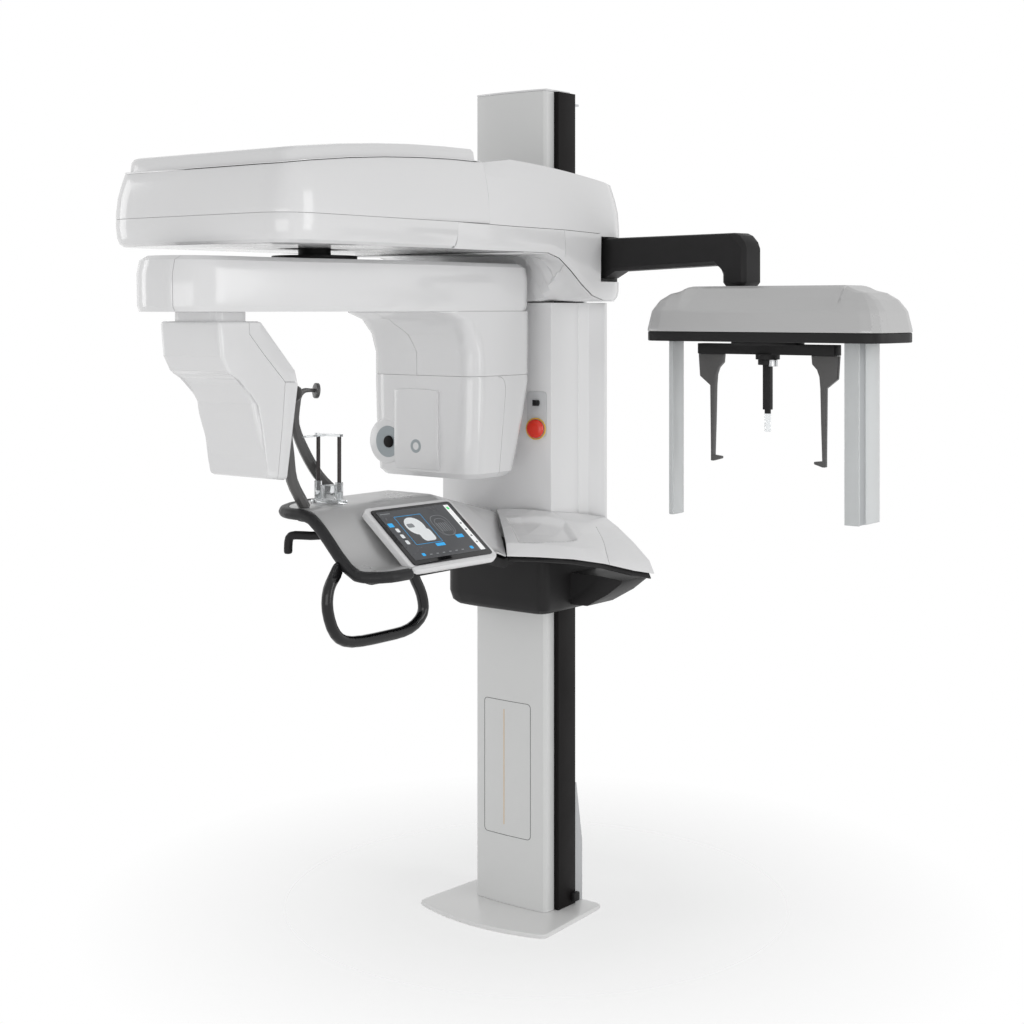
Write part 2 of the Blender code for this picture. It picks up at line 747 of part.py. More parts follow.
def make_head_rear():
    """The rear shell wraps the mast: sections across X-Z, one behind another."""
    start = HEAD_LOWER_SEAM_Y + GAP
    corner = 0.085
    stations = [start, HEAD_SEAM_Y, *SKIRT_STATIONS]
    stations += [HEAD_BACK - corner * (1 - math.sin(math.radians(a))) for a in (0, 30, 60, 90)]
    rows = []
    for y in stations:
        tuck = max(0.0, y - (HEAD_BACK - corner))
        half = HEAD_HALF - corner + math.sqrt(max(corner ** 2 - tuck ** 2, 0.0))
        low = skirt_height(y)
        rise = (LID_TOP - 0.016 - HEAD_TOP) * min(max((y - HEAD_SEAM_Y) / 0.12, 0.0), 1.0)
        top = HEAD_TOP + rise
        side = [(half - 0.014, low), (half - 0.006, low + 0.010), (half - 0.002, low + 0.024),
                (half, HEAD_SEAM_Z), (half - 0.004, HEAD_SEAM_Z + 0.050), (half - 0.014, HEAD_SHOULDER),
                (half - 0.030, top)]
        ring = side + [(-x, z) for x, z in reversed(side)]
        rows.append([crowned(x, y, z) for x, z in ring])
    shell = skin("rear", rows, cap_end=True)
    facing(shell, (0.0, -0.3, HEAD_SEAM_Z))
    thicken(shell, SHELL_WALL)
    window = slab("mast_window", mast_window(True), SKIRT_LOW - 0.05, LID_TOP + 0.05)
    cut(shell, window)
    step = box("front_step", (-0.4, start - 0.01, HEAD_SEAM_Z - GAP), (0.4, HEAD_SEAM_Y + GAP, LID_TOP + 0.1))
    cut(shell, step)
    arm_slot = box("arm_slot", (HEAD_HALF - 0.06, -0.118, ARM_LOW - 0.028),
                   (HEAD_HALF + 0.05, -0.002, ARM_HIGH + 0.004))
    cut(shell, arm_slot)
    keep(shell, "head_rear_shell", gloss_white())


def underside_height(x, y):
    """The underside stays above the turning gantry, then drops round its circle to the column."""
    reach = math.hypot(x, y - AXIS_Y)
    t = min(max((reach - UNDERSIDE_REACH) / 0.020, 0.0), 1.0)
    inner = HEAD_LOW - (HEAD_LOW - SKIRT_LOW) * t * t * (3 - 2 * t)
    t = min(max((abs(x) - 0.165) / 0.130, 0.0), 1.0)
    outer = t * t * (3 - 2 * t)
    return inner * (1 - outer) + skirt_edge(y) * outer


def make_underside():
    """The pan that closes the rear shell from below."""
    stations = [-0.440, -0.400, -0.370, -0.340, -0.315, -0.290, -0.270, -0.255, -0.240, -0.231,
                -0.222, -0.214, -0.206, -0.198, -0.190, -0.175, -0.140, -0.115, -0.090, -0.040, -0.010]
    corner = 0.085
    rows = []
    for y in stations:
        tuck = max(0.0, y - (HEAD_BACK - corner))
        half = HEAD_HALF - corner + math.sqrt(corner ** 2 - tuck ** 2) - 0.016
        xs = [-half + 2 * half * i / 24 for i in range(25)]
        rows.append([(x, y, underside_height(x, y) - 2 * GAP) for x in xs])
    pan = skin("underside", rows)
    facing(pan, (0.0, -0.3, 1.0))
    thicken(pan, 0.003, even=False)
    window = slab("underside_window", mast_window(True), SKIRT_LOW - 0.05, HEAD_TOP)
    keep(smooth(cut(pan, window)), "head_underside", gloss_white())


# ---- gantry ----------------------------------------------------------------------------------------

def beam_outline():
    """Plan of the gantry band: a round nose in front, wider over the source at the back."""
    nose = []
    for i in range(9):
        a = math.radians(180 + 180 * i / 8)
        nose.append((BEAM_FRONT_HALF * math.cos(a),
                     BEAM_FRONT + BEAM_FRONT_HALF + BEAM_FRONT_HALF * math.sin(a)))
    right = []
    for i in range(1, 5):
        t = i / 4
        blend = t * t * (3 - 2 * t)
        y = BEAM_WIDENS_FROM + (BEAM_WIDENS_TO - BEAM_WIDENS_FROM) * t
        right.append((BEAM_FRONT_HALF + (BEAM_BACK_HALF - BEAM_FRONT_HALF) * blend, y))
    corner = 0.060
    for i in range(4):
        a = math.radians(90 * i / 3)
        right.append((BEAM_BACK_HALF - corner + corner * math.cos(a),
                      BEAM_BACK - corner + corner * math.sin(a)))
    left = [(-x, y) for x, y in reversed(right)]
    return nose + right + left


def make_beam():
    plan = beam_outline()
    levels = [(0.006, BEAM_LOW), (0.001, BEAM_LOW + 0.014), (0.0, BEAM_TOP - 0.040),
              (0.006, BEAM_TOP - 0.010), (0.022, BEAM_TOP)]
    band = skin("band", [inset_ring(plan, d, z) for d, z in levels], closed=True, cap_end=True)
    facing(band, (0.0, -0.8, BEAM_LOW))
    thicken(band, SHELL_WALL)
    floor = [(x, y) for x, y, _ in inset_ring(plan, 0.007, 0.0)]
    way = rounded([(-0.080, -0.440), (0.080, -0.440), (0.080, -0.310), (-0.080, -0.310)], 0.02, 2)
    cut(band, slab("sole", floor, BEAM_LOW, BEAM_LOW + SHELL_WALL, [way]), "UNION")
    keep(band, "gantry_band", gloss_white())


def make_shaft():
    """Turned slewing shaft: cover disc below the head, shaft, and the collar it hangs by."""
    stage_top = UPPER_FRAME_Z + FRAME_THICKNESS + GAP + STAGE_THICKNESS
    disc_low = BEAM_TOP + GAP
    disc_high = disc_low + DISC_THICKNESS
    collar = stage_top + GAP
    profile = [(0.0, collar + 0.014), (0.060, collar + 0.014), (0.060, collar), (SHAFT_RADIUS, collar),
               (SHAFT_RADIUS, disc_high), (DISC_RADIUS, disc_high), (DISC_RADIUS, disc_low), (0.0, disc_low)]

    def build(work):
        verts = [work.verts.new((x, 0.0, z)) for x, z in profile]
        for a, b in zip(verts, verts[1:]):
            work.edges.new((a, b))
    shaft = new_mesh("shaft", build)
    turn = shaft.modifiers.new("Turned", "SCREW")
    turn.steps = 32
    turn.render_steps = 32
    turn.use_merge_vertices = True
    turn.merge_threshold = 0.0001
    shaft.location = (0.0, AXIS_Y, 0.0)
    keep(shaft, "slewing_shaft", matte_black())

    stage = slab("stage", rounded([(-0.120, AXIS_Y - 0.100), (0.120, AXIS_Y - 0.100),
                                   (0.120, AXIS_Y + 0.140), (-0.120, AXIS_Y + 0.140)], 0.02, 2),
                 UPPER_FRAME_Z + FRAME_THICKNESS + GAP, stage_top)
    bore = cylinder("stage_bore", SHAFT_RADIUS + RUN, UPPER_FRAME_Z, stage_top + 0.02, (0.0, AXIS_Y), 32)
    keep(cut(stage, bore), "gantry_stage", aluminium())


def source_ring(z, half, front, back, front_radius=0.055, back_radius=0.055):
    corners = [(half, back), (half, front), (-half, front), (-half, back)]
    flat = rounded(corners, [back_radius, front_radius, front_radius, back_radius], 4)
    return [(x, y, z) for x, y in flat]


def make_source():
    edge = 0.014
    rows = [source_ring(BEAM_LOW - GAP, 0.184, SOURCE_FRONT - 0.110, BEAM_BACK - 0.001),
            source_ring(BEAM_LOW - 0.004, 0.184, SOURCE_FRONT - 0.110, BEAM_BACK - 0.001),
            source_ring(BEAM_LOW - 0.022, 0.184, SOURCE_FRONT - 0.055, BEAM_BACK - 0.001),
            source_ring(BEAM_LOW - 0.060, 0.184, SOURCE_FRONT - 0.018, BEAM_BACK - 0.001),
            source_ring(BEAM_LOW - 0.110, 0.184, SOURCE_FRONT, BEAM_BACK - 0.002),
            source_ring(SOURCE_SEAM_Z + GAP, 0.184, SOURCE_FRONT, BEAM_BACK - 0.002)]
    shoulder = facing(skin("shoulder", rows, closed=True), (0.0, -0.37, 1.6))
    keep(thicken(shoulder, SHELL_WALL), "source_shoulder", gloss_white())

    rows = [source_ring(SOURCE_SEAM_Z - GAP, 0.184, SOURCE_FRONT, BEAM_BACK - 0.002),
            source_ring(SOURCE_SEAM_Z - 0.020, 0.184, SOURCE_FRONT, BEAM_BACK - 0.002),
            source_ring(1.400, 0.181, SOURCE_FRONT, BEAM_BACK - 0.020),
            source_ring(SOURCE_LOW + edge, 0.172, SOURCE_FRONT + 0.004, BEAM_BACK - 0.055),
            source_ring(SOURCE_LOW, 0.160, SOURCE_FRONT + 0.014, BEAM_BACK - 0.070)]
    housing = facing(skin("housing", rows, closed=True, cap_end=True), (0.0, -0.37, 1.4))
    thicken(housing, SHELL_WALL)
    keep(housing, "source_housing", gloss_white())

    lens_y = SOURCE_FRONT + 0.0018 - GAP
    lens = cylinder("lens", 0.016, 0.0, 0.008, sides=24)
    lens.location = (-0.110, lens_y - 0.004, 1.333)
    lens.rotation_euler = (math.radians(90), 0.0, 0.0)
    keep(round_edges(lens, 0.002), "positioning_camera", gloss_black())


def make_sensor():
    neck = slab("neck", rounded([(-NECK_HALF, -1.290), (NECK_HALF, -1.290), (NECK_HALF, -1.190),
                                 (-NECK_HALF, -1.190)], 0.02, 2), SENSOR_TOP - 0.004, BEAM_LOW - GAP)
    profile = [(-1.172, SENSOR_TOP), (-1.062, 1.545), (-1.052, 1.510), (-1.088, 1.288), (-1.152, 1.296),
               (-1.215, 1.470), (-1.272, 1.535), (-1.298, 1.580), (-1.306, SENSOR_TOP)]
    body = side_slab("sensor", profile, -SENSOR_HALF, SENSOR_HALF)
    round_edges(body, 0.008, 2)
    hollow_profile = [(-1.178, SENSOR_TOP - 0.006), (-1.078, 1.546), (-1.066, 1.515), (-1.100, 1.306),
                      (-1.144, 1.310), (-1.204, 1.476), (-1.262, 1.542), (-1.288, 1.584),
                      (-1.294, SENSOR_TOP - 0.006)]
    hollow = side_slab("sensor_hollow", hollow_profile, -SENSOR_HALF + 0.008, SENSOR_HALF - 0.008)
    cut(body, hollow)
    cable_way = slab("sensor_way", rounded([(-0.03, -1.26), (0.03, -1.26), (0.03, -1.22), (-0.03, -1.22)],
                                           0.01, 2), SENSOR_TOP - 0.02, BEAM_LOW + 0.01)
    cut(body, neck, "UNION")
    cut(body, cable_way)
    keep(body, "sensor_housing", gloss_white())
    panel = box("panel", (-0.080, -1.0, 0.0), (0.080, -0.984, 0.150))
    panel.rotation_euler = (math.radians(-9.2), 0.0, 0.0)
    panel.location = (0.0, -1.0911, 1.415)
    keep(panel, "xray_detector", matte_black())


# ---- patient support -------------------------------------------------------------------------------

def platform_z(x):
    """Height of the platform's top: high over the chin rest, low at the touch screen's edge."""
    t = min(max((x - SLOPE_FROM) / (SLOPE_TO - SLOPE_FROM), 0.0), 1.0)
    blend = t * t * (3 - 2 * t)
    return PLATFORM_HIGH - (PLATFORM_HIGH - PLATFORM_LOW) * blend


def platform_xs(low, high, count=14):
    """Places across the platform where its curved section has its corners: the same for every piece on it."""
    inner = [SLOPE_FROM + (SLOPE_TO - SLOPE_FROM) * i / count for i in range(count + 1)]
    return [low] + [x for x in inner if low + 0.004 < x < high - 0.004] + [high]


def platform_span(y):
    """Left and right edge of the platform at a place along it; its free end is rounded."""
    radius = 0.055
    t = min(max(0.0, (PLATFORM_END + radius - y) / radius), 1.0)
    right_tuck = radius * (1 - math.sqrt(1 - t * t))
    t = min(max(0.0, (PLATFORM_END + 0.190 - y) / 0.190), 1.0)
    left_tuck = 0.110 * (1 - math.sqrt(1 - t * t))
    return PLATFORM_LEFT + left_tuck, PLATFORM_RIGHT - right_tuck


def platform_plan(back):
    """The platform's outline in plan, from its back left round the free end to its back right."""
    ys = [back, -0.800, -0.860, -0.910, -0.945, -0.968, -0.981, -0.988, PLATFORM_END]
    left = [(platform_span(y)[0], y) for y in ys]
    ys = [PLATFORM_END, -0.988, -0.981, -0.968, -0.950, -0.935, back]
    right = [(platform_span(y)[1], y) for y in ys]
    return left + right


def arm_point(u, v):
    """Top of the arm between the platform's back edge (v=0) and the column (v=1), u from left to right."""
    left, right = platform_span(PLATFORM_BACK)
    x0 = left + (right - left) * u
    start = Vector((x0, PLATFORM_BACK + 0.0014, platform_z(x0)))
    far_left = Vector((-0.120, COLUMN_FRONT - 0.003, 1.130))
    middle = Vector((0.020, COLUMN_FRONT - 0.003, 1.134))
    far_right = Vector((0.262, -0.470, 1.056))
    if u < 0.35:
        end = far_left.lerp(middle, u / 0.35)
    else:
        end = middle.lerp(far_right, (u - 0.35) / 0.65)
    return start.lerp(end, v)


def make_platform():
    xs = platform_xs(PLATFORM_LEFT - 0.01, PLATFORM_RIGHT + 0.01)
    profile = [(x, platform_z(x)) for x in xs] + [(x, platform_z(x) - SKIN * 1.2) for x in reversed(xs)]
    top = front_slab("top", profile, PLATFORM_END - 0.01, PLATFORM_BACK - 0.0006)
    cut(top, slab("top_plan", platform_plan(PLATFORM_BACK + 0.01), 1.0, 1.3), "INTERSECT")
    keep(top, "platform_shell", satin_grey())

    inset = 0.020
    plan = inset_ring(platform_plan(PLATFORM_BACK + 0.04), inset, 0.0)
    plan = [(min(x, PLATFORM_RIGHT - 0.040), y) for x, y, _ in plan]
    low_x, high_x = PLATFORM_LEFT + inset, PLATFORM_RIGHT - 0.040
    xs = platform_xs(low_x - 0.01, high_x + 0.01)
    drop = CASTING_UNDER + CASTING_THICKNESS
    profile = [(x, platform_z(x) - CASTING_UNDER) for x in xs]
    profile += [(x, platform_z(x) - drop) for x in reversed(xs)]
    casting = front_slab("casting", profile, PLATFORM_END, PLATFORM_BACK - 0.002)
    unique = [p for i, p in enumerate(plan) if (Vector(p) - Vector(plan[i - 1])).length > 1e-5]
    cut(casting, slab("casting_plan", unique, 1.0, 1.3), "INTERSECT")
    xs = platform_xs(low_x + 0.001, high_x - 0.001)
    first = [(x, PLATFORM_BACK - 0.003, platform_z(x) - CASTING_UNDER - 0.001) for x in xs]
    first += [(x, PLATFORM_BACK - 0.003, platform_z(x) - drop + 0.001) for x in reversed(xs)]
    count = len(xs)
    ends = [-0.080 + 0.250 * i / (count - 1) for i in range(count)]
    last = [(x, -0.200 - GAP, LOWER_FRAME_Z + FRAME_THICKNESS) for x in ends]
    last += [(x, -0.200 - GAP, LOWER_FRAME_Z) for x in reversed(ends)]
    rows = [first]
    for t, sag in ((0.33, 0.026), (0.66, 0.016), (0.90, 0.0)):
        rows.append([tuple(Vector(a).lerp(Vector(b), t) - Vector((0, 0, sag))) for a, b in zip(first, last)])
    rows.append(last)
    cut(casting, skin("casting_arm", rows, closed=True, cap_start=True, cap_end=True), "UNION")
    keep(casting, "arm_casting", aluminium())

    grid = [[tuple(arm_point(u / 10, v / 4)) for u in range(11)] for v in range(5)]
    cover = skin("arm_cover", grid)
    facing(cover, (0.0, -0.4, 0.5))
    keep(smooth(thicken(cover, SKIN)), "arm_cover", satin_grey())


def make_bumper():
    """Rubber band round the platform's free end, from its left side to the touch screen."""
    edge = platform_plan(-0.740)[:-1] + [(PLATFORM_RIGHT, -0.890)]
    offset = BUMPER_RADIUS + GAP
    path = []
    for i, (x, y) in enumerate(edge):
        before = Vector(edge[max(i - 1, 0)])
        after = Vector(edge[min(i + 1, len(edge) - 1)])
        along = (after - before).normalized()
        path.append((x + along.y * offset, y - along.x * offset))
    fine = []
    for (x0, y0), (x1, y1) in zip(path, path[1:]):
        pieces = max(1, round(math.hypot(x1 - x0, y1 - y0) / 0.030))
        fine += [(x0 + (x1 - x0) * k / pieces, y0 + (y1 - y0) * k / pieces) for k in range(pieces)]
    fine.append(path[-1])
    points = [(x, y, platform_z(min(x, PLATFORM_RIGHT)) - SKIN - 0.004) for x, y in fine]
    band = tube("bumper", points, BUMPER_RADIUS, resolution=2)
    keep(band, "bumper_band", material("rubber", (0.02, 0.02, 0.02), 0.6))


def under_casting(name):
    """Cutter for what is fixed under the casting: the casting's own space, and all above it."""
    xs = platform_xs(PLATFORM_LEFT, PLATFORM_RIGHT + 0.2)
    drop = CASTING_UNDER + CASTING_THICKNESS + GAP
    profile = [(x, platform_z(x) - drop) for x in xs]
    profile += [(xs[-1], PLATFORM_HIGH + 0.2), (xs[0], PLATFORM_HIGH + 0.2)]
    return front_slab(name, profile, -1.2, -0.4)


def make_handles():
    loop = [(HANDLE_X, -0.945, 1.130), (HANDLE_X, -0.990, 1.095), (HANDLE_X, -1.030, 1.070), (HANDLE_X, -1.056, 1.040),
            (HANDLE_X, -1.060, 0.990), (HANDLE_X, -1.034, 0.932), (HANDLE_X, -0.980, 0.906),
            (HANDLE_X, -0.860, 0.902), (HANDLE_X, -0.775, 0.907), (HANDLE_X, -0.726, 0.937),
            (HANDLE_X, -0.730, 0.985), (HANDLE_X, -0.762, 1.040), (HANDLE_X, -0.795, 1.120)]
    bar = tube("loop", smooth_path(loop, 3), HANDLE_RADIUS)
    keep(cut(bar, under_casting("loop_trim")), "loop_handle", gloss_black())
    hook = [(0.085, -0.935, 1.200), (0.085, -0.945, 1.160), (0.072, -0.955, 1.143), (0.030, -0.975, 1.142),
            (0.006, -0.986, 1.140), (0.0, -0.989, 1.125), (0.0, -0.990, 1.100)]
    grip = tube("grip", smooth_path(hook, 2), 0.007, resolution=2)
    keep(cut(grip, under_casting("grip_trim")), "hook_handle", matte_black())


def screen_place():
    """The screen's own axes: X across its width, Y up its face, Z out of it."""
    across = Vector((math.sin(SCREEN_TURN), math.cos(SCREEN_TURN), 0.0))
    level = Vector((-math.cos(SCREEN_TURN), math.sin(SCREEN_TURN), 0.0))
    up = level * math.cos(SCREEN_TILT) + Vector((0, 0, 1)) * math.sin(SCREEN_TILT)
    out = across.cross(up)
    turn = Matrix((across, up, out)).transposed().to_4x4()
    return Matrix.Translation(SCREEN_CENTRE) @ turn


def rectangle(width, height, radius, steps=3):
    w, h = width / 2, height / 2
    return rounded([(-w, -h), (w, -h), (w, h), (-w, h)], radius, steps)


def make_screen():
    place = screen_place()
    glass = slab("glass", rectangle(SCREEN_WIDTH, SCREEN_HEIGHT, 0.010), -SCREEN_GLASS, 0.0)
    glass.matrix_world = place @ glass.matrix_world
    keep(glass, "touch_screen", gloss_black())
    back = -SCREEN_GLASS - GAP
    frame = slab("frame", rectangle(SCREEN_WIDTH + 2 * SCREEN_RIM, SCREEN_HEIGHT + 2 * SCREEN_RIM, 0.020),
                 back - SCREEN_BODY, back)
    frame.matrix_world = place @ frame.matrix_world
    round_edges(frame, 0.004, 2)
    top = back - SCREEN_BODY + 0.003
    stand = slab("stand", rectangle(0.150, 0.100, 0.010), top - 0.090, top)
    stand.matrix_world = place @ Matrix.Translation((0.0, 0.020, 0.0)) @ stand.matrix_world
    cut(frame, stand, "UNION")
    cut(frame, surface_cutter("frame_trim"))
    keep(frame, "screen_housing", gloss_white())


def surface_cutter(name):
    """Cutter for what stands on the platform: the platform's own space, and all below it."""
    xs = platform_xs(PLATFORM_LEFT, PLATFORM_RIGHT + 0.002)
    profile = [(x, platform_z(x) + GAP) for x in reversed(xs)]
    profile += [(xs[0], 0.9), (xs[-1], 0.9)]
    return front_slab(name, profile, -1.2, -0.3)


def make_chin_rest():
    low = PLATFORM_HIGH + GAP
    plate = box("plate", (-0.048, BITE_Y - 0.016, low), (0.048, BITE_Y + 0.016, low + 0.007))
    tower = box("tower", (-0.018, BITE_Y - 0.012, low + 0.003), (0.018, BITE_Y + 0.014, low + 0.044))
    cut(plate, round_edges(tower, 0.004))
    plate.modifiers[-1].operation = "UNION"
    for side in (-1, 1):
        sleeve = cylinder("sleeve", 0.0095, low + 0.003, low + 0.052, (side * ROD_X, BITE_Y), 16)
        cut(plate, sleeve, "UNION")
    for side in (-1, 1):
        bore = cylinder("sleeve_bore", ROD_RADIUS + RUN, low + 0.007, low + 0.07, (side * ROD_X, BITE_Y), 16)
        cut(plate, bore)
    keep(plate, "chin_rest", clear_plastic())

    top = ROD_TOP - 0.004
    mount = empty_at("bite_height_axis", (0.0, BITE_Y, ROD_LOW))
    bridge = box("bridge", (-ROD_X - 0.007, BITE_Y - 0.006, top),
                 (ROD_X + 0.007, BITE_Y + 0.006, top + 0.006))
    for side in (-1, 1):
        cut(bridge, cylinder("rod", ROD_RADIUS, ROD_LOW, top + 0.003, (side * ROD_X, BITE_Y), 16), "UNION")
    stick = box("stick", (-0.005, BITE_Y - 0.085, top + 0.001), (0.005, BITE_Y, top + 0.005))
    cut(bridge, stick, "UNION")
    keep(bridge, "bite_support", material("dark_metal", (0.1, 0.07, 0.07), 0.25, 1.0))
    hang_on(mount, bridge)


def make_temple_supports():
    """Two curved arms on the platform, each with a bar and a round pad at head height."""
    foot = PLATFORM_HIGH + GAP
    left = [(-0.060, -0.762, foot), (-0.060, -0.775, foot + 0.020), (-0.060, -0.827, 1.272),
            (-0.062, -0.874, 1.336), (-0.066, -0.902, 1.400), (-0.068, -0.894, 1.452), (-0.067, -0.887, 1.473),
            (-0.064, -0.873, 1.484), (-0.058, -0.858, 1.485), (-0.052, -0.846, 1.484)]
    right = [(0.032, -0.9645, foot), (0.032, -0.977, foot + 0.018), (0.032, -1.0095, 1.278),
             (0.032, -1.0195, 1.340), (0.031, -1.024, 1.400), (0.029, -1.020, 1.452), (0.0273, -1.0155, 1.473),
             (0.022, -1.005, 1.484), (0.0135, -0.989, 1.485), (0.0073, -0.9765, 1.484)]
    widths = [1.55, 1.6, 1.55, 1.5, 1.3, 1.1, 0.95, 0.75, 0.55, 0.55]
    for word, points in (("left", left), ("right", right)):
        path = smooth_path(points, 3)
        fine = []
        for i in range(len(widths) - 1):
            fine += [widths[i] + (widths[i + 1] - widths[i]) * k / 3 for k in range(3)]
        fine.append(widths[-1])
        arm = tube("arm", path, 0.009, fine, 2)
        trim = box("arm_trim_" + word, (points[0][0] - 0.05, points[0][1] - 0.05, foot - 0.05),
                   (points[0][0] + 0.05, points[0][1] + 0.05, foot))
        cut(arm, trim)
        end = Vector(points[-1])
        along = (end - Vector(points[-2])).normalized()
        pad = cylinder("pad_" + word, 0.0195, 0.0, 0.010, sides=20)
        turn = Vector((0, 0, 1)).rotation_difference(along).to_matrix().to_4x4()
        pad.matrix_world = Matrix.Translation(end) @ turn @ Matrix.Translation((0, 0, 0.004))
        cut(arm, round_edges(pad, 0.002), "UNION")
        keep(arm, "temple_arm_" + word, matte_black())
        pivot = empty_at("temple_axis_" + word, points[0])
        hang_on(pivot, arm)


# ---- lower housing and wing ------------------------------------------------------------------------

def tub_ring(z, inset):
    """The lower housing's plan at one height, moved inwards except at the back."""
    left, right, front = TUB_LEFT + inset, TUB_RIGHT - inset, TUB_FRONT + inset
    flat = rounded([(right, 0.020), (right, front), (left, front), (left, 0.020)],
                   [0.0, 0.030, 0.060, 0.0], 4)
    return [(x, y, z) for x, y in flat]


def make_lower_housing():
    levels = [(0.0, TUB_HIGH), (0.0, TUB_LOW + 0.040), (0.006, TUB_LOW + 0.014), (0.016, TUB_LOW + 0.004),
              (0.030, TUB_LOW)]
    tub = skin("tub", [tub_ring(z, d) for d, z in levels], closed=True, cap_end=True)
    facing(tub, (0.0, -0.1, 1.0))
    thicken(tub, 0.003)
    side = CHANNEL_OUT + TUB_CLEARANCE
    window = slab("tub_window", [(-side, MAST_CLEAR_FRONT), (side, MAST_CLEAR_FRONT), (side, 0.06), (-side, 0.06)],
                  TUB_LOW - 0.05, TUB_HIGH + 0.05)
    cut(tub, window)
    ring = [(x, y) for x, y, _ in tub_ring(0.0, 0.001)]
    side += 0.001
    notch = [(-side, 0.0192), (-side, -0.150), (side, -0.150), (side, 0.0192)]
    cut(tub, slab("tub_lip", ring + notch, TUB_HIGH - 0.004, LOWER_FRAME_Z - GAP), "UNION")
    profile = [(TUB_RIGHT - 0.002, 0.875), (0.255, 0.876), (0.325, 0.915), (0.368, 0.948), (0.372, 0.956),
               (0.300, 0.962), (TUB_RIGHT - 0.002, 0.962)]
    cut(tub, front_slab("under", profile, -0.105, 0.018), "UNION")
    keep(tub, "lower_housing", matte_black())


def wing_rows():
    """Lines along the wing from the arm's seam to its back: outer edge, two between, and column side."""
    outer = [(0.2640, -0.4680, 1.056), (0.288, -0.360, 1.043), (0.316, -0.250, 1.027), (0.348, -0.150, 1.006),
             (0.382, -0.060, 0.980), (0.400, 0.010, 0.965)]
    clear = COLUMN_FRONT - 0.003
    side = COLUMN_HALF + 0.0035
    inner = [(0.0250, clear, 1.135), (0.085, clear, 1.141), (0.150, clear + 0.003, 1.142),
             (side, -0.186, 1.138), (side + 0.003, -0.090, 1.126), (COLUMN_BACK_HALF + 0.004, 0.010, 1.108)]
    rows = []
    for t, lift in ((0.0, 0.0), (0.10, 0.020), (0.42, 0.020), (0.75, 0.012), (1.0, 0.0)):
        rows.append([tuple(Vector(a).lerp(Vector(b), t) + Vector((0, 0, lift))) for a, b in zip(outer, inner)])
    return rows


def make_wing():
    wing = skin("wing", wing_rows())
    facing(wing, (0.2, -0.2, 0.3))
    keep(smooth(thicken(wing, SKIN)), "wing_cover", gloss_white())


# ---- switches --------------------------------------------------------------------------------------

def switch_place(z):
    """A frame on the bowed front of the column cover: Z out of the face, Y up."""
    y = COLUMN_FRONT + (COLUMN_CORNER - COLUMN_FRONT) * (SWITCH_X / COLUMN_HALF) ** 2
    slope = 2 * (COLUMN_CORNER - COLUMN_FRONT) * SWITCH_X / COLUMN_HALF ** 2
    out = Vector((slope, -1.0, 0.0)).normalized()
    up = Vector((0.0, 0.0, 1.0))
    across = up.cross(out)
    turn = Matrix((across, up, out)).transposed().to_4x4()
    return Matrix.Translation((SWITCH_X, y, z)) @ turn


def make_switches():
    middle = (ESTOP_Z + ROCKER_Z) / 2 + 0.004
    lift = 0.0009
    plate = slab("plate", rectangle(0.058, 0.124, 0.010), lift, lift + 0.002)
    plate.matrix_world = switch_place(middle) @ plate.matrix_world
    face = lift + 0.002 + GAP
    ring = slab("ring", rectangle(0.054, 0.054, 0.027, 6), lift + 0.001, face + 0.003)
    ring.matrix_world = switch_place(ESTOP_Z) @ ring.matrix_world
    cut(plate, ring, "UNION")
    bore = cylinder("ring_bore", 0.0125, lift + 0.0012, face + 0.02, sides=20)
    bore.matrix_world = switch_place(ESTOP_Z) @ Matrix.Translation((0, 0, (lift + 0.0012 + face + 0.02) / 2))
    keep(cut(plate, bore), "switch_plate", satin_grey())

    def build(work):
        rim = face + 0.003 + ESTOP_TRAVEL + 0.001
        profile = [(0.0, rim + 0.012), (0.013, rim + 0.011), (0.019, rim + 0.008), (ESTOP_RADIUS, rim + 0.003),
                   (ESTOP_RADIUS, rim), (0.0115, rim), (0.0115, rim - ESTOP_TRAVEL - 0.0005),
                   (0.0, rim - ESTOP_TRAVEL - 0.0005)]
        verts = [work.verts.new((x, 0.0, z)) for x, z in profile]
        for a, b in zip(verts, verts[1:]):
            work.edges.new((a, b))
    knob = new_mesh("knob", build)
    turn = knob.modifiers.new("Turned", "SCREW")
    turn.steps = 24
    turn.render_steps = 24
    turn.use_merge_vertices = True
    turn.merge_threshold = 0.0001
    knob.matrix_world = switch_place(ESTOP_Z)
    keep(knob, "estop_button", material("red", (0.75, 0.03, 0.02), 0.3))

    half = 0.0095
    arc = [(ROCKER_RADIUS * math.cos(math.radians(a)), ROCKER_RADIUS * math.sin(math.radians(a)))
           for a in range(180, 361, 15)]
    rocker = slab("rocker", arc, -half, half)
    axis = face + ROCKER_RADIUS + 0.0002
    roll = Matrix(((0, 0, 1, 0), (1, 0, 0, 0), (0, 1, 0, 0), (0, 0, 0, 1)))
    rocker.matrix_world = switch_place(ROCKER_Z) @ Matrix.Translation((0, 0, axis)) @ roll @ rocker.matrix_world
    keep(rocker, "power_rocker", matte_black())


# ---- cephalometric arm -----------------------------------------------------------------------------

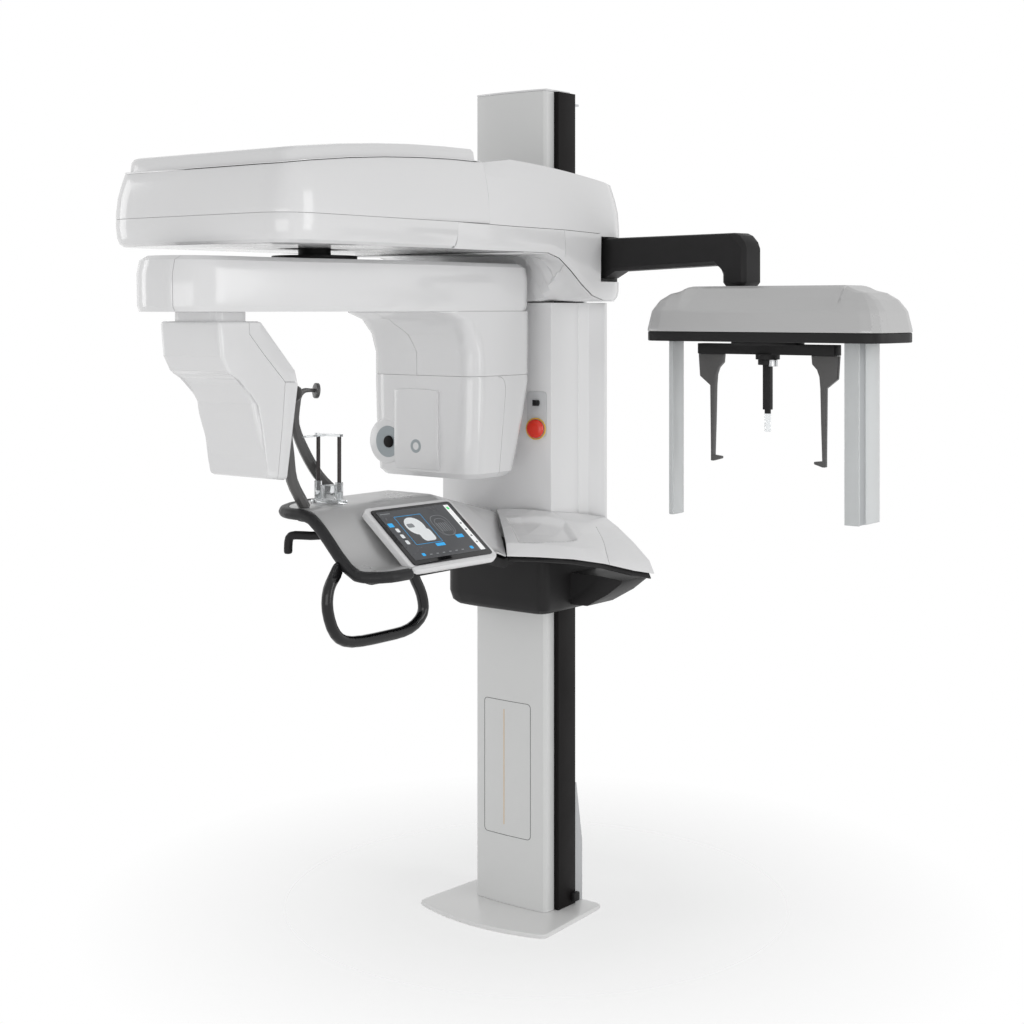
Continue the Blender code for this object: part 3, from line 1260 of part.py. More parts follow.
def make_ceph_arm():
    profile = [(0.0, ARM_LOW - 0.018), (0.0, UPPER_FRAME_Z - GAP), (0.060, UPPER_FRAME_Z - GAP), (0.085, ARM_HIGH),
               (ARM_REACH - 0.030, ARM_HIGH), (ARM_REACH, ARM_HIGH - 0.030), (ARM_REACH, CEPH_TOP + GAP),
               (ARM_REACH - 0.078, CEPH_TOP + GAP), (ARM_REACH - 0.078, ARM_LOW - 0.004),
               (ARM_REACH - 0.094, ARM_LOW + 0.010), (0.190, ARM_LOW), (0.150, ARM_LOW - 0.018)]
    arm = front_slab("arm", profile, -ARM_WIDTH / 2, ARM_WIDTH / 2)
    place = Matrix.Translation((*ARM_START, 0.0)) @ Matrix.Rotation(ARM_TURN, 4, "Z")
    arm.matrix_world = place @ arm.matrix_world
    round_edges(arm, 0.010, 1)
    keep(arm, "ceph_arm", matte_black())


def ceph_ring(z, inset):
    half, depth = CEPH_HALF_LENGTH - inset, CEPH_HALF_DEPTH - inset * 0.7
    flat = rounded([(-half, -depth), (half, -depth), (half, depth), (-half, depth)],
                   max(0.012, 0.050 - inset / 2), 3)
    return [(CEPH_SHELL_X + x, CEPH_Y + y, z) for x, y in flat]


def make_ceph_head():
    levels = [(0.0, CEPH_RIM + GAP), (0.0, CEPH_RIM + 0.006), (0.010, CEPH_RIM + 0.050), (0.030, CEPH_RIM + 0.085),
              (0.056, CEPH_TOP - 0.006), (0.075, CEPH_TOP)]
    shell = skin("shell", [ceph_ring(z, d) for d, z in levels], closed=True, cap_end=True)
    facing(shell, (CEPH_SHELL_X, CEPH_Y, CEPH_RIM))
    keep(thicken(shell, SHELL_WALL), "ceph_head_shell", satin_grey())
    pan = slab("pan", [(x, y) for x, y, _ in ceph_ring(0.0, 0.001)], CEPH_LOW, CEPH_RIM)
    keep(pan, "ceph_head_pan", matte_black())


def make_head_holder():
    disc_low = CEPH_LOW - GAP - HOLDER_DISC
    bar_low = disc_low - BAR_HEIGHT
    disc = cylinder("disc", HOLDER_DISC_RADIUS, disc_low, CEPH_LOW - GAP, (CEPH_X, CEPH_Y), 32)
    bar = slab("bar", rounded([(-BAR_HALF, -0.020), (BAR_HALF, -0.020),
                               (BAR_HALF, 0.020), (-BAR_HALF, 0.020)],
                              0.008, 2), bar_low, disc_low + 0.002)
    bar.location.x += CEPH_X
    bar.location.y += CEPH_Y
    cut(disc, bar, "UNION")
    hub = cylinder("hub", 0.030, bar_low - 0.012, bar_low + 0.002, (CEPH_X, CEPH_Y), 20)
    cut(disc, hub, "UNION")
    keep(disc, "head_holder_bar", matte_black())

    pivot = empty_at("head_holder_axis", (CEPH_X, CEPH_Y, disc_low))
    hung = [disc]
    for side, word in ((-1, "left"), (1, "right")):
        top = bar_low - GAP
        outline = [(0.036, top), (0.036, top - 0.012), (0.006, top - 0.030), (-0.004, top - 0.060),
                   (0.002, EAR_LOW + 0.012), (-0.008, EAR_LOW + 0.008), (-0.008, EAR_LOW), (0.012, EAR_LOW),
                   (0.013, top - 0.062), (0.020, top - 0.052), (0.050, top - 0.014), (0.050, top)]
        shape = [(CEPH_X + side * (EAR_X + x), z) for x, z in outline]
        ear = front_slab("ear", shape, CEPH_Y - 0.013, CEPH_Y + 0.013)
        tip = cylinder("ear_tip_" + word, 0.006, 0.0, 0.022, sides=16)
        tip.rotation_euler = (0.0, math.radians(90), 0.0)
        tip.location = (CEPH_X + side * (EAR_X - 0.016), CEPH_Y, EAR_LOW + 0.006)
        cut(ear, tip, "UNION")
        hung.append(keep(ear, "ear_arm_" + word, satin_grey()))

    hinge_z = bar_low - 0.012 - GAP
    stem = box("stem", (CEPH_X - 0.010, CEPH_Y - 0.008, NASAL_LOW + 0.055),
               (CEPH_X + 0.010, CEPH_Y + 0.008, hinge_z))
    tip = box("nasal_end", (CEPH_X - 0.007, CEPH_Y - 0.004, NASAL_LOW),
              (CEPH_X + 0.007, CEPH_Y + 0.004, NASAL_LOW + 0.060))
    hung.append(keep(cut(stem, tip, "UNION"), "nasal_stem", matte_black()))
    hang_on(pivot, *hung)


def make_scan_panels():
    top = CEPH_LOW - GAP
    sensor = box("sensor", (1.106, CEPH_Y - 0.055, PANEL_LOW), (1.144, CEPH_Y + 0.055, top))
    recess = box("sensor_recess", (1.140, CEPH_Y - 0.050, PANEL_LOW - 0.01),
                 (1.150, CEPH_Y - 0.018, top + 0.01))
    cut(sensor, recess)
    keep(sensor, "ceph_sensor", clear_plastic())
    collimator = box("collimator", (0.606, CEPH_Y - 0.040, PANEL_LOW - 0.012), (0.620, CEPH_Y + 0.012, top))
    keep(round_edges(collimator, 0.002, 1), "ceph_collimator", clear_plastic())


# ---- joint axes ------------------------------------------------------------------------------------

FIXED = ("base_plate", "mast_extrusion", "mast_front_cover", "side_channel_left", "side_channel_right",
         "mast_top_cap", "guide_rail_left", "guide_rail_right", "lift_screw", "lift_motor", "wall_bracket",
         "cable_cover", "foot_connector")


def hang_moving_pieces():
    """Hang every moving piece on an empty at the axis it moves about, and those on the lift's axis."""
    pieces = parts.objects
    sensor = empty_at("sensor_shift_axis", (0.0, AXIS_Y, 1.600))
    hang_on(sensor, pieces["sensor_housing"], pieces["xray_detector"])
    gantry = empty_at("gantry_axis", (0.0, AXIS_Y, 1.880))
    hang_on(gantry, pieces["slewing_shaft"], pieces["gantry_band"], pieces["source_shoulder"],
            pieces["source_housing"], pieces["positioning_camera"], sensor)
    stage = empty_at("stage_slide_axis", (0.0, AXIS_Y, 1.890))
    hang_on(stage, pieces["gantry_stage"], gantry)
    estop = empty_at("estop_axis", switch_place(ESTOP_Z) @ Vector((0.0, 0.0, 0.0)))
    hang_on(estop, pieces["estop_button"])
    rocker = empty_at("rocker_axis", switch_place(ROCKER_Z) @ Vector((0.0, 0.0, ROCKER_RADIUS)))
    hang_on(rocker, pieces["power_rocker"])
    scan = empty_at("sensor_scan_axis", (1.125, CEPH_Y, CEPH_LOW))
    hang_on(scan, pieces["ceph_sensor"])
    slit = empty_at("collimator_scan_axis", (0.613, CEPH_Y, CEPH_LOW))
    hang_on(slit, pieces["ceph_collimator"])
    lift = empty_at("lift_axis", (0.0, SCREW_Y, 1.500))
    loose = [piece for piece in pieces if piece.parent is None and piece is not lift]
    hang_on(lift, *[piece for piece in loose if piece.name not in FIXED])


clear_scene()
make_base()
make_mast()
make_lift()
make_back_pieces()
make_carriage()
make_frames()
make_column_covers()
make_head_front()
make_head_rear()
make_underside()
make_beam()
make_shaft()
make_source()
make_sensor()
make_platform()
make_bumper()
make_handles()
make_screen()
make_chin_rest()
make_temple_supports()
make_lower_housing()
make_wing()
make_switches()
make_ceph_arm()
make_ceph_head()
make_head_holder()
make_scan_panels()
hang_moving_pieces()
bpy.context.view_layer.update()
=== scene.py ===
"""A dental panoramic x-ray machine with a cephalometric arm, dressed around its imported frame."""
import math

import bpy
from mathutils import Matrix, Vector
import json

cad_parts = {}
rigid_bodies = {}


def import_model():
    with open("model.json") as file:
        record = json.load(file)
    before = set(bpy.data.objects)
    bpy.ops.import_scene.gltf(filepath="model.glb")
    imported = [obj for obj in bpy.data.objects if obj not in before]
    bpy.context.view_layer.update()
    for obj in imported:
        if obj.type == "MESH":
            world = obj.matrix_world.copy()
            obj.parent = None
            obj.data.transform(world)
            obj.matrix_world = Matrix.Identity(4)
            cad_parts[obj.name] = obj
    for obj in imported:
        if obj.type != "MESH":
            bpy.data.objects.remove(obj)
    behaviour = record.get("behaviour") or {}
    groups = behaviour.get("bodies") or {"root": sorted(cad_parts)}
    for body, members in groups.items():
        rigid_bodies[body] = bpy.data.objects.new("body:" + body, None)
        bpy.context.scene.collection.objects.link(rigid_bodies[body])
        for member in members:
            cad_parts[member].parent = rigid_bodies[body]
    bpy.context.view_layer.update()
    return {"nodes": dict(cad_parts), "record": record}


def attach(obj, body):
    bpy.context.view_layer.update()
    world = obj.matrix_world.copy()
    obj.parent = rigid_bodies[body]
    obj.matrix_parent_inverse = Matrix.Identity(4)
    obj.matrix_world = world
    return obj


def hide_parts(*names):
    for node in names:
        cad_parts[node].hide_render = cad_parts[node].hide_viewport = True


# ---- The room: the frame, the camera and the studio ---------------------------------------------
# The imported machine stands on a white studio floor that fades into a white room. Two large soft
# lamps light it from the front and the right, and a weaker one fills in from the left.
for old in list(bpy.data.objects):
    bpy.data.objects.remove(old, do_unlink=True)
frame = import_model()
scene = bpy.context.scene
scene.view_settings.view_transform = "Standard"

eye = bpy.data.objects.new("camera", bpy.data.cameras.new("camera"))
scene.collection.objects.link(eye)
eye.location = (2.974, -3.918, 1.690)
eye.rotation_euler = (math.radians(90), 0.0, math.radians(38))
eye.data.sensor_width = 36.0
eye.data.lens = 60.2
eye.data.shift_y = -0.199
eye.data.clip_end = 60.0
scene.camera = eye

room = bpy.data.worlds.new("studio_room")
room.use_nodes = True
scene.world = room


def looked_at(tree):
    """One on rays from the camera, a mirror or a glass, and nought on light that only bounces."""
    ray = tree.nodes.new("ShaderNodeLightPath")
    seen = ray.outputs["Is Camera Ray"]
    for kind in ("Is Glossy Ray", "Is Transmission Ray"):
        either = tree.nodes.new("ShaderNodeMath")
        either.operation = "MAXIMUM"
        tree.links.new(seen, either.inputs[0])
        tree.links.new(ray.outputs[kind], either.inputs[1])
        seen = either.outputs[0]
    return seen


tree = room.node_tree
level = tree.nodes.new("ShaderNodeMapRange")
level.inputs["To Min"].default_value = 0.56
level.inputs["To Max"].default_value = 1.0
tree.links.new(looked_at(tree), level.inputs["Value"])
tree.nodes["Background"].inputs["Color"].default_value = (1.0, 1.0, 1.0, 1.0)
tree.links.new(level.outputs[0], tree.nodes["Background"].inputs["Strength"])


def soft_lamp(name, place, aim, size, watts):
    """A white soft box that hangs at a place and faces its aim."""
    data = bpy.data.lights.new(name, "AREA")
    data.shape = "RECTANGLE"
    data.size, data.size_y = size
    data.energy = watts
    lamp = bpy.data.objects.new(name, data)
    scene.collection.objects.link(lamp)
    lamp.location = place
    lamp.rotation_euler = (Vector(aim) - Vector(place)).to_track_quat("-Z", "Y").to_euler()


soft_lamp("lamp_front", (2.2, -4.4, 1.0), (0.1, -0.3, 0.8), (3.0, 1.8), 30)
soft_lamp("lamp_right", (4.4, 0.4, 1.9), (0.2, -0.3, 1.3), (1.6, 3.0), 40)
soft_lamp("lamp_left", (-3.8, -2.6, 2.2), (0.0, -0.8, 1.5), (1.2, 2.8), 20)

bpy.ops.mesh.primitive_grid_add(x_subdivisions=24, y_subdivisions=24, size=14.0,
                                location=(0, 0, -0.0005))
floor = bpy.context.object
floor.name = "studio_floor"
paper = bpy.data.materials.new("studio_paper")
paper.use_nodes = True
tree = paper.node_tree
tree.nodes["Principled BSDF"].inputs["Base Color"].default_value = (0.95, 0.95, 0.95, 1.0)
tree.nodes["Principled BSDF"].inputs["Roughness"].default_value = 0.9
tree.nodes["Principled BSDF"].inputs["Specular IOR Level"].default_value = 0.1
where = tree.nodes.new("ShaderNodeTexCoord")
far = tree.nodes.new("ShaderNodeVectorMath")
far.operation = "LENGTH"
fade = tree.nodes.new("ShaderNodeMapRange")
fade.inputs["From Min"].default_value = 0.4
fade.inputs["From Max"].default_value = 1.3
fade.inputs["To Min"].default_value = 0.60
gone = tree.nodes.new("ShaderNodeMath")
gone.operation = "MULTIPLY"
clear = tree.nodes.new("ShaderNodeBsdfTransparent")
blend = tree.nodes.new("ShaderNodeMixShader")
tree.links.new(where.outputs["Object"], far.inputs[0])
tree.links.new(far.outputs["Value"], fade.inputs["Value"])
tree.links.new(fade.outputs[0], gone.inputs[0])
tree.links.new(looked_at(tree), gone.inputs[1])
tree.links.new(gone.outputs[0], blend.inputs["Fac"])
tree.links.new(tree.nodes["Principled BSDF"].outputs[0], blend.inputs[1])
tree.links.new(clear.outputs[0], blend.inputs[2])
tree.links.new(blend.outputs[0], tree.nodes["Material Output"].inputs["Surface"])
floor.data.materials.append(paper)


# ---- Base plate ---------------------------------------------------------------------------------
# The thick steel foot is bolted to the floor and carries the whole mast. Its top is powder coated
# light grey and glossy, and its corners and rim are rounded.
def finish(name, colour, rough, grain=220.0, height=0.00006, uneven=0.02, metal=0.0, coat=0.0,
           shine=0.5):
    """A surface with slow colour drift, patchy gloss and the fine grain of a mould or a paint gun."""
    made = bpy.data.materials.new(name)
    made.use_nodes = True
    nodes, links = made.node_tree.nodes, made.node_tree.links
    shader = nodes["Principled BSDF"]
    shader.inputs["Metallic"].default_value = metal
    shader.inputs["Specular IOR Level"].default_value = shine
    if coat:
        shader.inputs["Coat Weight"].default_value = coat
        shader.inputs["Coat Roughness"].default_value = 0.06
    place = nodes.new("ShaderNodeTexCoord")
    drift = nodes.new("ShaderNodeTexNoise")
    drift.inputs["Scale"].default_value = 2.6
    drift.inputs["Detail"].default_value = 3.0
    tint = nodes.new("ShaderNodeMix")
    tint.data_type = "RGBA"
    tint.inputs["A"].default_value = (*[c * (1 - uneven) for c in colour], 1.0)
    tint.inputs["B"].default_value = (*[min(1.0, c * (1 + uneven)) for c in colour], 1.0)
    patch = nodes.new("ShaderNodeTexNoise")
    patch.inputs["Scale"].default_value = 9.0
    patch.inputs["Detail"].default_value = 4.0
    gloss = nodes.new("ShaderNodeMapRange")
    gloss.inputs["From Min"].default_value = 0.3
    gloss.inputs["From Max"].default_value = 0.7
    gloss.inputs["To Min"].default_value = rough * 0.88
    gloss.inputs["To Max"].default_value = min(1.0, rough * 1.15)
    peel = nodes.new("ShaderNodeTexNoise")
    peel.inputs["Scale"].default_value = grain
    peel.inputs["Detail"].default_value = 2.0
    bump = nodes.new("ShaderNodeBump")
    bump.inputs["Strength"].default_value = 0.35
    bump.inputs["Distance"].default_value = height
    for noise in (drift, patch, peel):
        links.new(place.outputs["Object"], noise.inputs["Vector"])
    links.new(drift.outputs["Fac"], tint.inputs["Factor"])
    links.new(tint.outputs["Result"], shader.inputs["Base Color"])
    links.new(patch.outputs["Fac"], gloss.inputs["Value"])
    links.new(gloss.outputs["Result"], shader.inputs["Roughness"])
    links.new(peel.outputs["Fac"], bump.inputs["Height"])
    links.new(bump.outputs["Normal"], shader.inputs["Normal"])
    return made


def alone(piece):
    """Select one object and nothing else."""
    bpy.ops.object.select_all(action="DESELECT")
    piece.select_set(True)
    bpy.context.view_layer.objects.active = piece


def apply_all(piece):
    """Make every modifier on a piece part of its mesh."""
    alone(piece)
    for step in list(piece.modifiers):
        bpy.ops.object.modifier_apply(modifier=step.name)


BODY_OF = {node: body for body, nodes in frame["record"]["behaviour"]["bodies"].items()
           for node in nodes}


def merged_copy(node, name):
    """A copy of a CAD node's mesh, its loose triangles joined at their corners."""
    piece = bpy.data.objects.new(name, frame["nodes"][node].data.copy())
    scene.collection.objects.link(piece)
    alone(piece)
    bpy.ops.mesh.customdata_custom_splitnormals_clear()
    bpy.ops.object.mode_set(mode="EDIT")
    bpy.ops.mesh.select_all(action="SELECT")
    bpy.ops.mesh.remove_doubles(threshold=0.00002)
    bpy.ops.object.mode_set(mode="OBJECT")
    return piece


def round_edges(piece, edge, turn):
    """Round each edge that turns by more than an angle, and make it part of the mesh."""
    if edge:
        step = piece.modifiers.new("edge", "BEVEL")
        step.width = edge
        step.segments = 3
        step.limit_method = "ANGLE"
        step.angle_limit = math.radians(turn)
    apply_all(piece)
    bpy.ops.object.shade_smooth_by_angle(angle=math.radians(turn))


def covered(node, material, edge=0.0015, turn=35.0):
    """The finished piece over a CAD node: its mesh merged and its edges rounded."""
    piece = merged_copy(node, node + "_finished")
    bpy.ops.object.mode_set(mode="EDIT")
    bpy.ops.mesh.select_all(action="SELECT")
    bpy.ops.mesh.tris_convert_to_quads(face_threshold=math.radians(32),
                                       shape_threshold=math.radians(60))
    bpy.ops.mesh.dissolve_limited(angle_limit=math.radians(0.6))
    bpy.ops.object.mode_set(mode="OBJECT")
    round_edges(piece, edge, turn)
    piece.data.materials.clear()
    piece.data.materials.append(material)
    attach(piece, BODY_OF[node])
    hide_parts(node)
    return piece


powder_coat = finish("powder_coat_light_grey", (0.80, 0.80, 0.795), 0.22, grain=300)
covered("base_plate", powder_coat, edge=0.003)

# ---- Mast ---------------------------------------------------------------------------------------
# An extruded aluminium post carries a bowed front cover in satin light grey, with black channels
# down both sides for the carriage to run in, and a moulded cap on top.
mast_paint = finish("mast_satin_grey", (0.74, 0.745, 0.74), 0.32, grain=260)
anodised = finish("anodised_aluminium", (0.70, 0.71, 0.71), 0.34, grain=480, metal=0.9)
channel_black = finish("channel_black", (0.007, 0.006, 0.006), 0.5, grain=340, shine=0.12)
white_plastic = finish("gloss_white_plastic", (0.80, 0.80, 0.805), 0.17, grain=150, height=0.00003,
                       coat=0.3)
cover = covered("mast_front_cover", mast_paint, edge=0.0015)
covered("mast_extrusion", anodised, edge=0.0008)
covered("side_channel_left", channel_black, edge=0.001)
covered("side_channel_right", channel_black, edge=0.001)
covered("mast_top_cap", white_plastic, edge=0.002)

# ---- Name plate place ---------------------------------------------------------------------------
# A thin printed outline with rounded corners marks the plain plate on the mast's front cover. One
# fine amber line runs up it. Both are films a fraction of a millimetre thick, and both are bare.
film_dark = finish("film_dark_grey", (0.06, 0.06, 0.065), 0.4, grain=500)
film_amber = finish("film_amber", (0.78, 0.42, 0.05), 0.4, grain=500)


def film(name, x0, x1, z0, z1, corner, width, material):
    """A film cut flat, then laid over the bowed cover. A width leaves only its outline."""
    bpy.ops.object.select_all(action="DESELECT")
    bpy.ops.mesh.primitive_plane_add(size=1.0, location=((x0 + x1) / 2, -0.16, (z0 + z1) / 2),
                                     rotation=(math.radians(90), 0, 0))
    piece = bpy.context.object
    piece.name = name
    piece.scale = (x1 - x0, z1 - z0, 1.0)
    bpy.ops.object.transform_apply(location=True, rotation=True, scale=True)
    bpy.ops.object.mode_set(mode="EDIT")
    bpy.ops.mesh.select_all(action="SELECT")
    bpy.ops.mesh.bevel(offset=corner, segments=6, affect="VERTICES")
    if width:
        bpy.ops.mesh.inset(thickness=width)
        bpy.ops.mesh.delete(type="FACE")
    for i in range(1, 12):
        bpy.ops.mesh.select_all(action="SELECT")
        bpy.ops.mesh.bisect(plane_co=(x0 + (x1 - x0) * i / 12, 0, 0), plane_no=(1, 0, 0))
    bpy.ops.object.mode_set(mode="OBJECT")
    lay = piece.modifiers.new("lay", "SHRINKWRAP")
    lay.wrap_method = "PROJECT"
    lay.target = cover
    lay.use_project_x = lay.use_project_z = False
    lay.use_project_y = True
    lay.use_negative_direction = lay.use_positive_direction = True
    lay.offset = 0.0004
    wall = piece.modifiers.new("wall", "SOLIDIFY")
    wall.thickness = 0.0003
    apply_all(piece)
    piece.data.materials.append(material)
    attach(piece, "mast")


film("plate_outline", -0.090, 0.076, 0.205, 0.585, 0.012, 0.0014, film_dark)
film("plate_amber_line", -0.0175, -0.0160, 0.235, 0.560, 0.0006, 0.0, film_amber)

# ---- Lift ---------------------------------------------------------------------------------------
# Inside the mast a motor turns a screw that lifts the carriage along two ground steel rails. The
# plates and frames that the covers are screwed to are milled from aluminium.
ground_steel = finish("ground_steel", (0.55, 0.56, 0.57), 0.26, grain=600, metal=1.0)
motor_black = finish("motor_black", (0.03, 0.03, 0.032), 0.5, grain=300)
for node in ("guide_rail_left", "guide_rail_right", "guide_block_left", "guide_block_right", "lift_screw",
             "wall_bracket"):
    covered(node, ground_steel, edge=0.0008)
covered("lift_motor", motor_black, edge=0.001)
for node in ("carriage_plate", "head_frame", "support_frame", "gantry_stage"):
    covered(node, anodised, edge=0.001)

# ---- Back of the mast ---------------------------------------------------------------------------
# A grey moulded wedge covers the cable entry at the foot of the post and clips over it. Beside it,
# a black moulded connector is fixed to the side channel.
grey_plastic = finish("moulded_grey", (0.52, 0.53, 0.54), 0.42, grain=300, height=0.0001)
black_plastic = finish("moulded_black", (0.016, 0.0155, 0.016), 0.5, grain=320, height=0.0001,
                       shine=0.2)
covered("cable_cover", grey_plastic, edge=0.002)
covered("foot_connector", black_plastic, edge=0.001)

# ---- Column covers ------------------------------------------------------------------------------
# Two gloss white mouldings, a front and a rear one, close round the carriage between the head and
# the patient support. They meet at a seam down each side.
covered("column_front_cover", white_plastic, edge=0.0015, turn=28)
covered("column_rear_cover", white_plastic, edge=0.0015, turn=28)

# ---- Head ---------------------------------------------------------------------------------------
# Five gloss white mouldings meet at fine seams round the drive: an upper and a lower shell, a lid,
# a rear shell that reaches round the mast, and a pan that closes the underside.
def seam(piece, axis, points, near, far, width=0.0012, turn=32):
    """Cut a parting line with a fine blade that follows the points, seen along one axis."""
    for (u0, v0), (u1, v1) in zip(points, points[1:]):
        length, slope = math.hypot(u1 - u0, v1 - v0) + width * 0.6, math.atan2(v1 - v0, u1 - u0)
        u, v, w = (u0 + u1) / 2, (v0 + v1) / 2, (near + far) / 2
        place = {"x": (w, u, v), "y": (u, w, v), "z": (u, v, w)}[axis]
        lean = {"x": (slope, 0, 0), "y": (0, -slope, 0), "z": (0, 0, slope)}[axis]
        size = {"x": (far - near, length, width), "y": (length, far - near, width),
                "z": (length, width, far - near)}[axis]
        bpy.ops.object.select_all(action="DESELECT")
        bpy.ops.mesh.primitive_cube_add(size=1.0, location=place, rotation=lean, scale=size)
        blade = bpy.context.object
        cut = piece.modifiers.new("seam", "BOOLEAN")
        cut.operation = "DIFFERENCE"
        cut.object = blade
        cut.solver = "EXACT"
        apply_all(piece)
        bpy.data.objects.remove(blade, do_unlink=True)
    alone(piece)
    bpy.ops.object.shade_smooth_by_angle(angle=math.radians(turn))


covered("head_lower_shell", white_plastic, edge=0.001, turn=32)
covered("head_upper_shell", white_plastic, edge=0.001, turn=32)
covered("head_top_lid", white_plastic, edge=0.001, turn=40)
rear = covered("head_rear_shell", white_plastic, edge=0.001, turn=40)
seam(rear, "x", [(-0.724, 1.900), (-0.496, 1.897), (-0.286, 1.896), (-0.140, 1.892), (-0.125, 1.892)],
     0.296, 0.316)
seam(rear, "x", [(-0.286, 1.896), (-0.279, 1.848), (-0.277, 1.825)], 0.290, 0.316)
pan = covered("head_underside", white_plastic, edge=0.0006, turn=40)
seam(pan, "z", [(0.300, -0.270), (0.270, -0.252), (0.242, -0.244), (0.096, -0.218)], 1.70, 1.84)

# ---- Gantry -------------------------------------------------------------------------------------
# The band is a gloss white moulding over a casting. It turns on a short shaft under the head, and
# carries the source at one end and the sensor at the other. A seam parts its nose cap.
covered("slewing_shaft", black_plastic, edge=0.001)
band = covered("gantry_band", white_plastic, edge=0.001, turn=40)
seam(band, "y", [(0.058, 1.681), (0.058, 1.810)], -1.430, -1.375)

# ---- Source housing -----------------------------------------------------------------------------
# The shoulder and the housing below it are white mouldings with a service panel in the side. A low
# raised panel with a ring window faces the patient, beside a boss that holds the camera's lens.
shoulder = covered("source_shoulder", white_plastic, edge=0.001, turn=40)
seam(shoulder, "y", [(-0.0120, 1.510), (-0.0125, 1.575), (-0.019, 1.600), (-0.026, 1.618), (-0.040, 1.636),
                     (-0.053, 1.649), (-0.062, 1.664), (-0.068, 1.684)], -0.640, -0.485)
housing = covered("source_housing", white_plastic, edge=0.001, turn=40)
seam(housing, "x", [(-0.404, 1.5105), (-0.392, 1.509), (-0.383, 1.503), (-0.377, 1.494), (-0.3745, 1.480),
                    (-0.374, 1.460), (-0.380, 1.390), (-0.384, 1.300), (-0.386, 1.243)], 0.150, 0.190)


def settle(piece, name, material, body, edge=0.0, turn=35.0):
    """Round a new piece's edges, give it its finish and hang it on its body."""
    round_edges(piece, edge, turn)
    piece.name = name
    piece.data.materials.clear()
    piece.data.materials.append(material)
    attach(piece, body)


def round_piece(place, towards, radius, depth, hole=0.0, dish=0.0, sides=64):
    """A turned disc standing on its place. A hole makes it a ring, and a dish sinks its middle."""
    towards = Vector(towards).normalized()
    bpy.ops.object.select_all(action="DESELECT")
    bpy.ops.mesh.primitive_cylinder_add(vertices=sides, radius=radius, depth=depth,
                                        location=Vector(place) + towards * depth / 2,
                                        rotation=towards.to_track_quat("Z", "Y").to_euler())
    piece = bpy.context.object
    bpy.ops.object.transform_apply(location=True, rotation=True, scale=True)
    bpy.ops.object.mode_set(mode="EDIT")
    bpy.ops.mesh.select_all(action="DESELECT")
    bpy.ops.object.mode_set(mode="OBJECT")
    for face in piece.data.polygons:
        face.select = face.normal.dot(towards) > 0.9
    bpy.ops.object.mode_set(mode="EDIT")
    if dish:
        bpy.ops.mesh.inset(thickness=radius * 0.22)
        bpy.ops.transform.translate(value=-towards * dish)
    bpy.ops.object.mode_set(mode="OBJECT")
    if hole:
        bpy.ops.object.select_all(action="DESELECT")
        bpy.ops.mesh.primitive_cylinder_add(vertices=sides, radius=hole, depth=depth * 3,
                                            location=Vector(place) + towards * depth / 2,
                                            rotation=towards.to_track_quat("Z", "Y").to_euler())
        drill = bpy.context.object
        bore = piece.modifiers.new("bore", "BOOLEAN")
        bore.operation = "DIFFERENCE"
        bore.object = drill
        bore.solver = "EXACT"
        apply_all(piece)
        bpy.data.objects.remove(drill, do_unlink=True)
    return piece


silver_ring = finish("lens_ring_grey", (0.36, 0.40, 0.42), 0.3, grain=300)
front = (0.0, -1.0, 0.0)
boss = round_piece((-0.122, -0.466, 1.334), front, 0.061, 0.0395)
settle(boss, "lens_boss", white_plastic, "gantry", edge=0.006)
disc = round_piece((-0.114, -0.503, 1.333), front, 0.042, 0.0040, dish=0.0008)
settle(disc, "lens_surround", silver_ring, "gantry", edge=0.0006)
covered("positioning_camera", channel_black, edge=0.0004)

panel_x, panel_half = -0.0115, 0.0765
bpy.ops.object.select_all(action="DESELECT")
bpy.ops.mesh.primitive_cube_add(size=1.0, location=(panel_x, -0.504, 1.3690),
                                scale=(2 * panel_half, 0.013, 0.209))
panel = bpy.context.object
bpy.ops.object.transform_apply(location=True, rotation=True, scale=True)
bpy.ops.object.mode_set(mode="EDIT")
bpy.ops.mesh.select_all(action="SELECT")
bpy.ops.mesh.subdivide(number_cuts=5)
bpy.ops.object.mode_set(mode="OBJECT")
for point in panel.data.vertices:
    x, z = point.co.x, point.co.z
    if z > 1.44:
        point.co.z += 0.004 * (1 - ((x - panel_x) / panel_half) ** 2) * (z - 1.44) / 0.034
    if z < 1.30:
        point.co.y += 0.007 * ((1.30 - z) / 0.036) ** 2
settle(panel, "source_front_panel", white_plastic, "gantry", edge=0.003, turn=50)
window = round_piece((-0.011, -0.5095, 1.326), front, 0.018, 0.0014, hole=0.010)
settle(window, "window_ring", silver_ring, "gantry", edge=0.0004)

# ---- Sensor housing -----------------------------------------------------------------------------
# A white moulding hangs from the band's nose. Its face is sunk below an arched brow, so that it
# passes close by the patient, and a cover is parted from its side by a fine line.
def ruled(piece, axis, low, high, step):
    """Rule a mesh with parallel cuts, so that its surface can be shaped."""
    alone(piece)
    bpy.ops.object.mode_set(mode="EDIT")
    normal = {"x": (1, 0, 0), "y": (0, 1, 0), "z": (0, 0, 1)}[axis]
    for i in range(int((high - low) / step) + 1):
        bpy.ops.mesh.select_all(action="SELECT")
        bpy.ops.mesh.bisect(plane_co=[n * (low + i * step) for n in normal], plane_no=normal)
    bpy.ops.object.mode_set(mode="OBJECT")


def ease(t):
    """Rise from nought to one without a corner at either end."""
    t = min(max(t, 0.0), 1.0)
    return t * t * (3 - 2 * t)


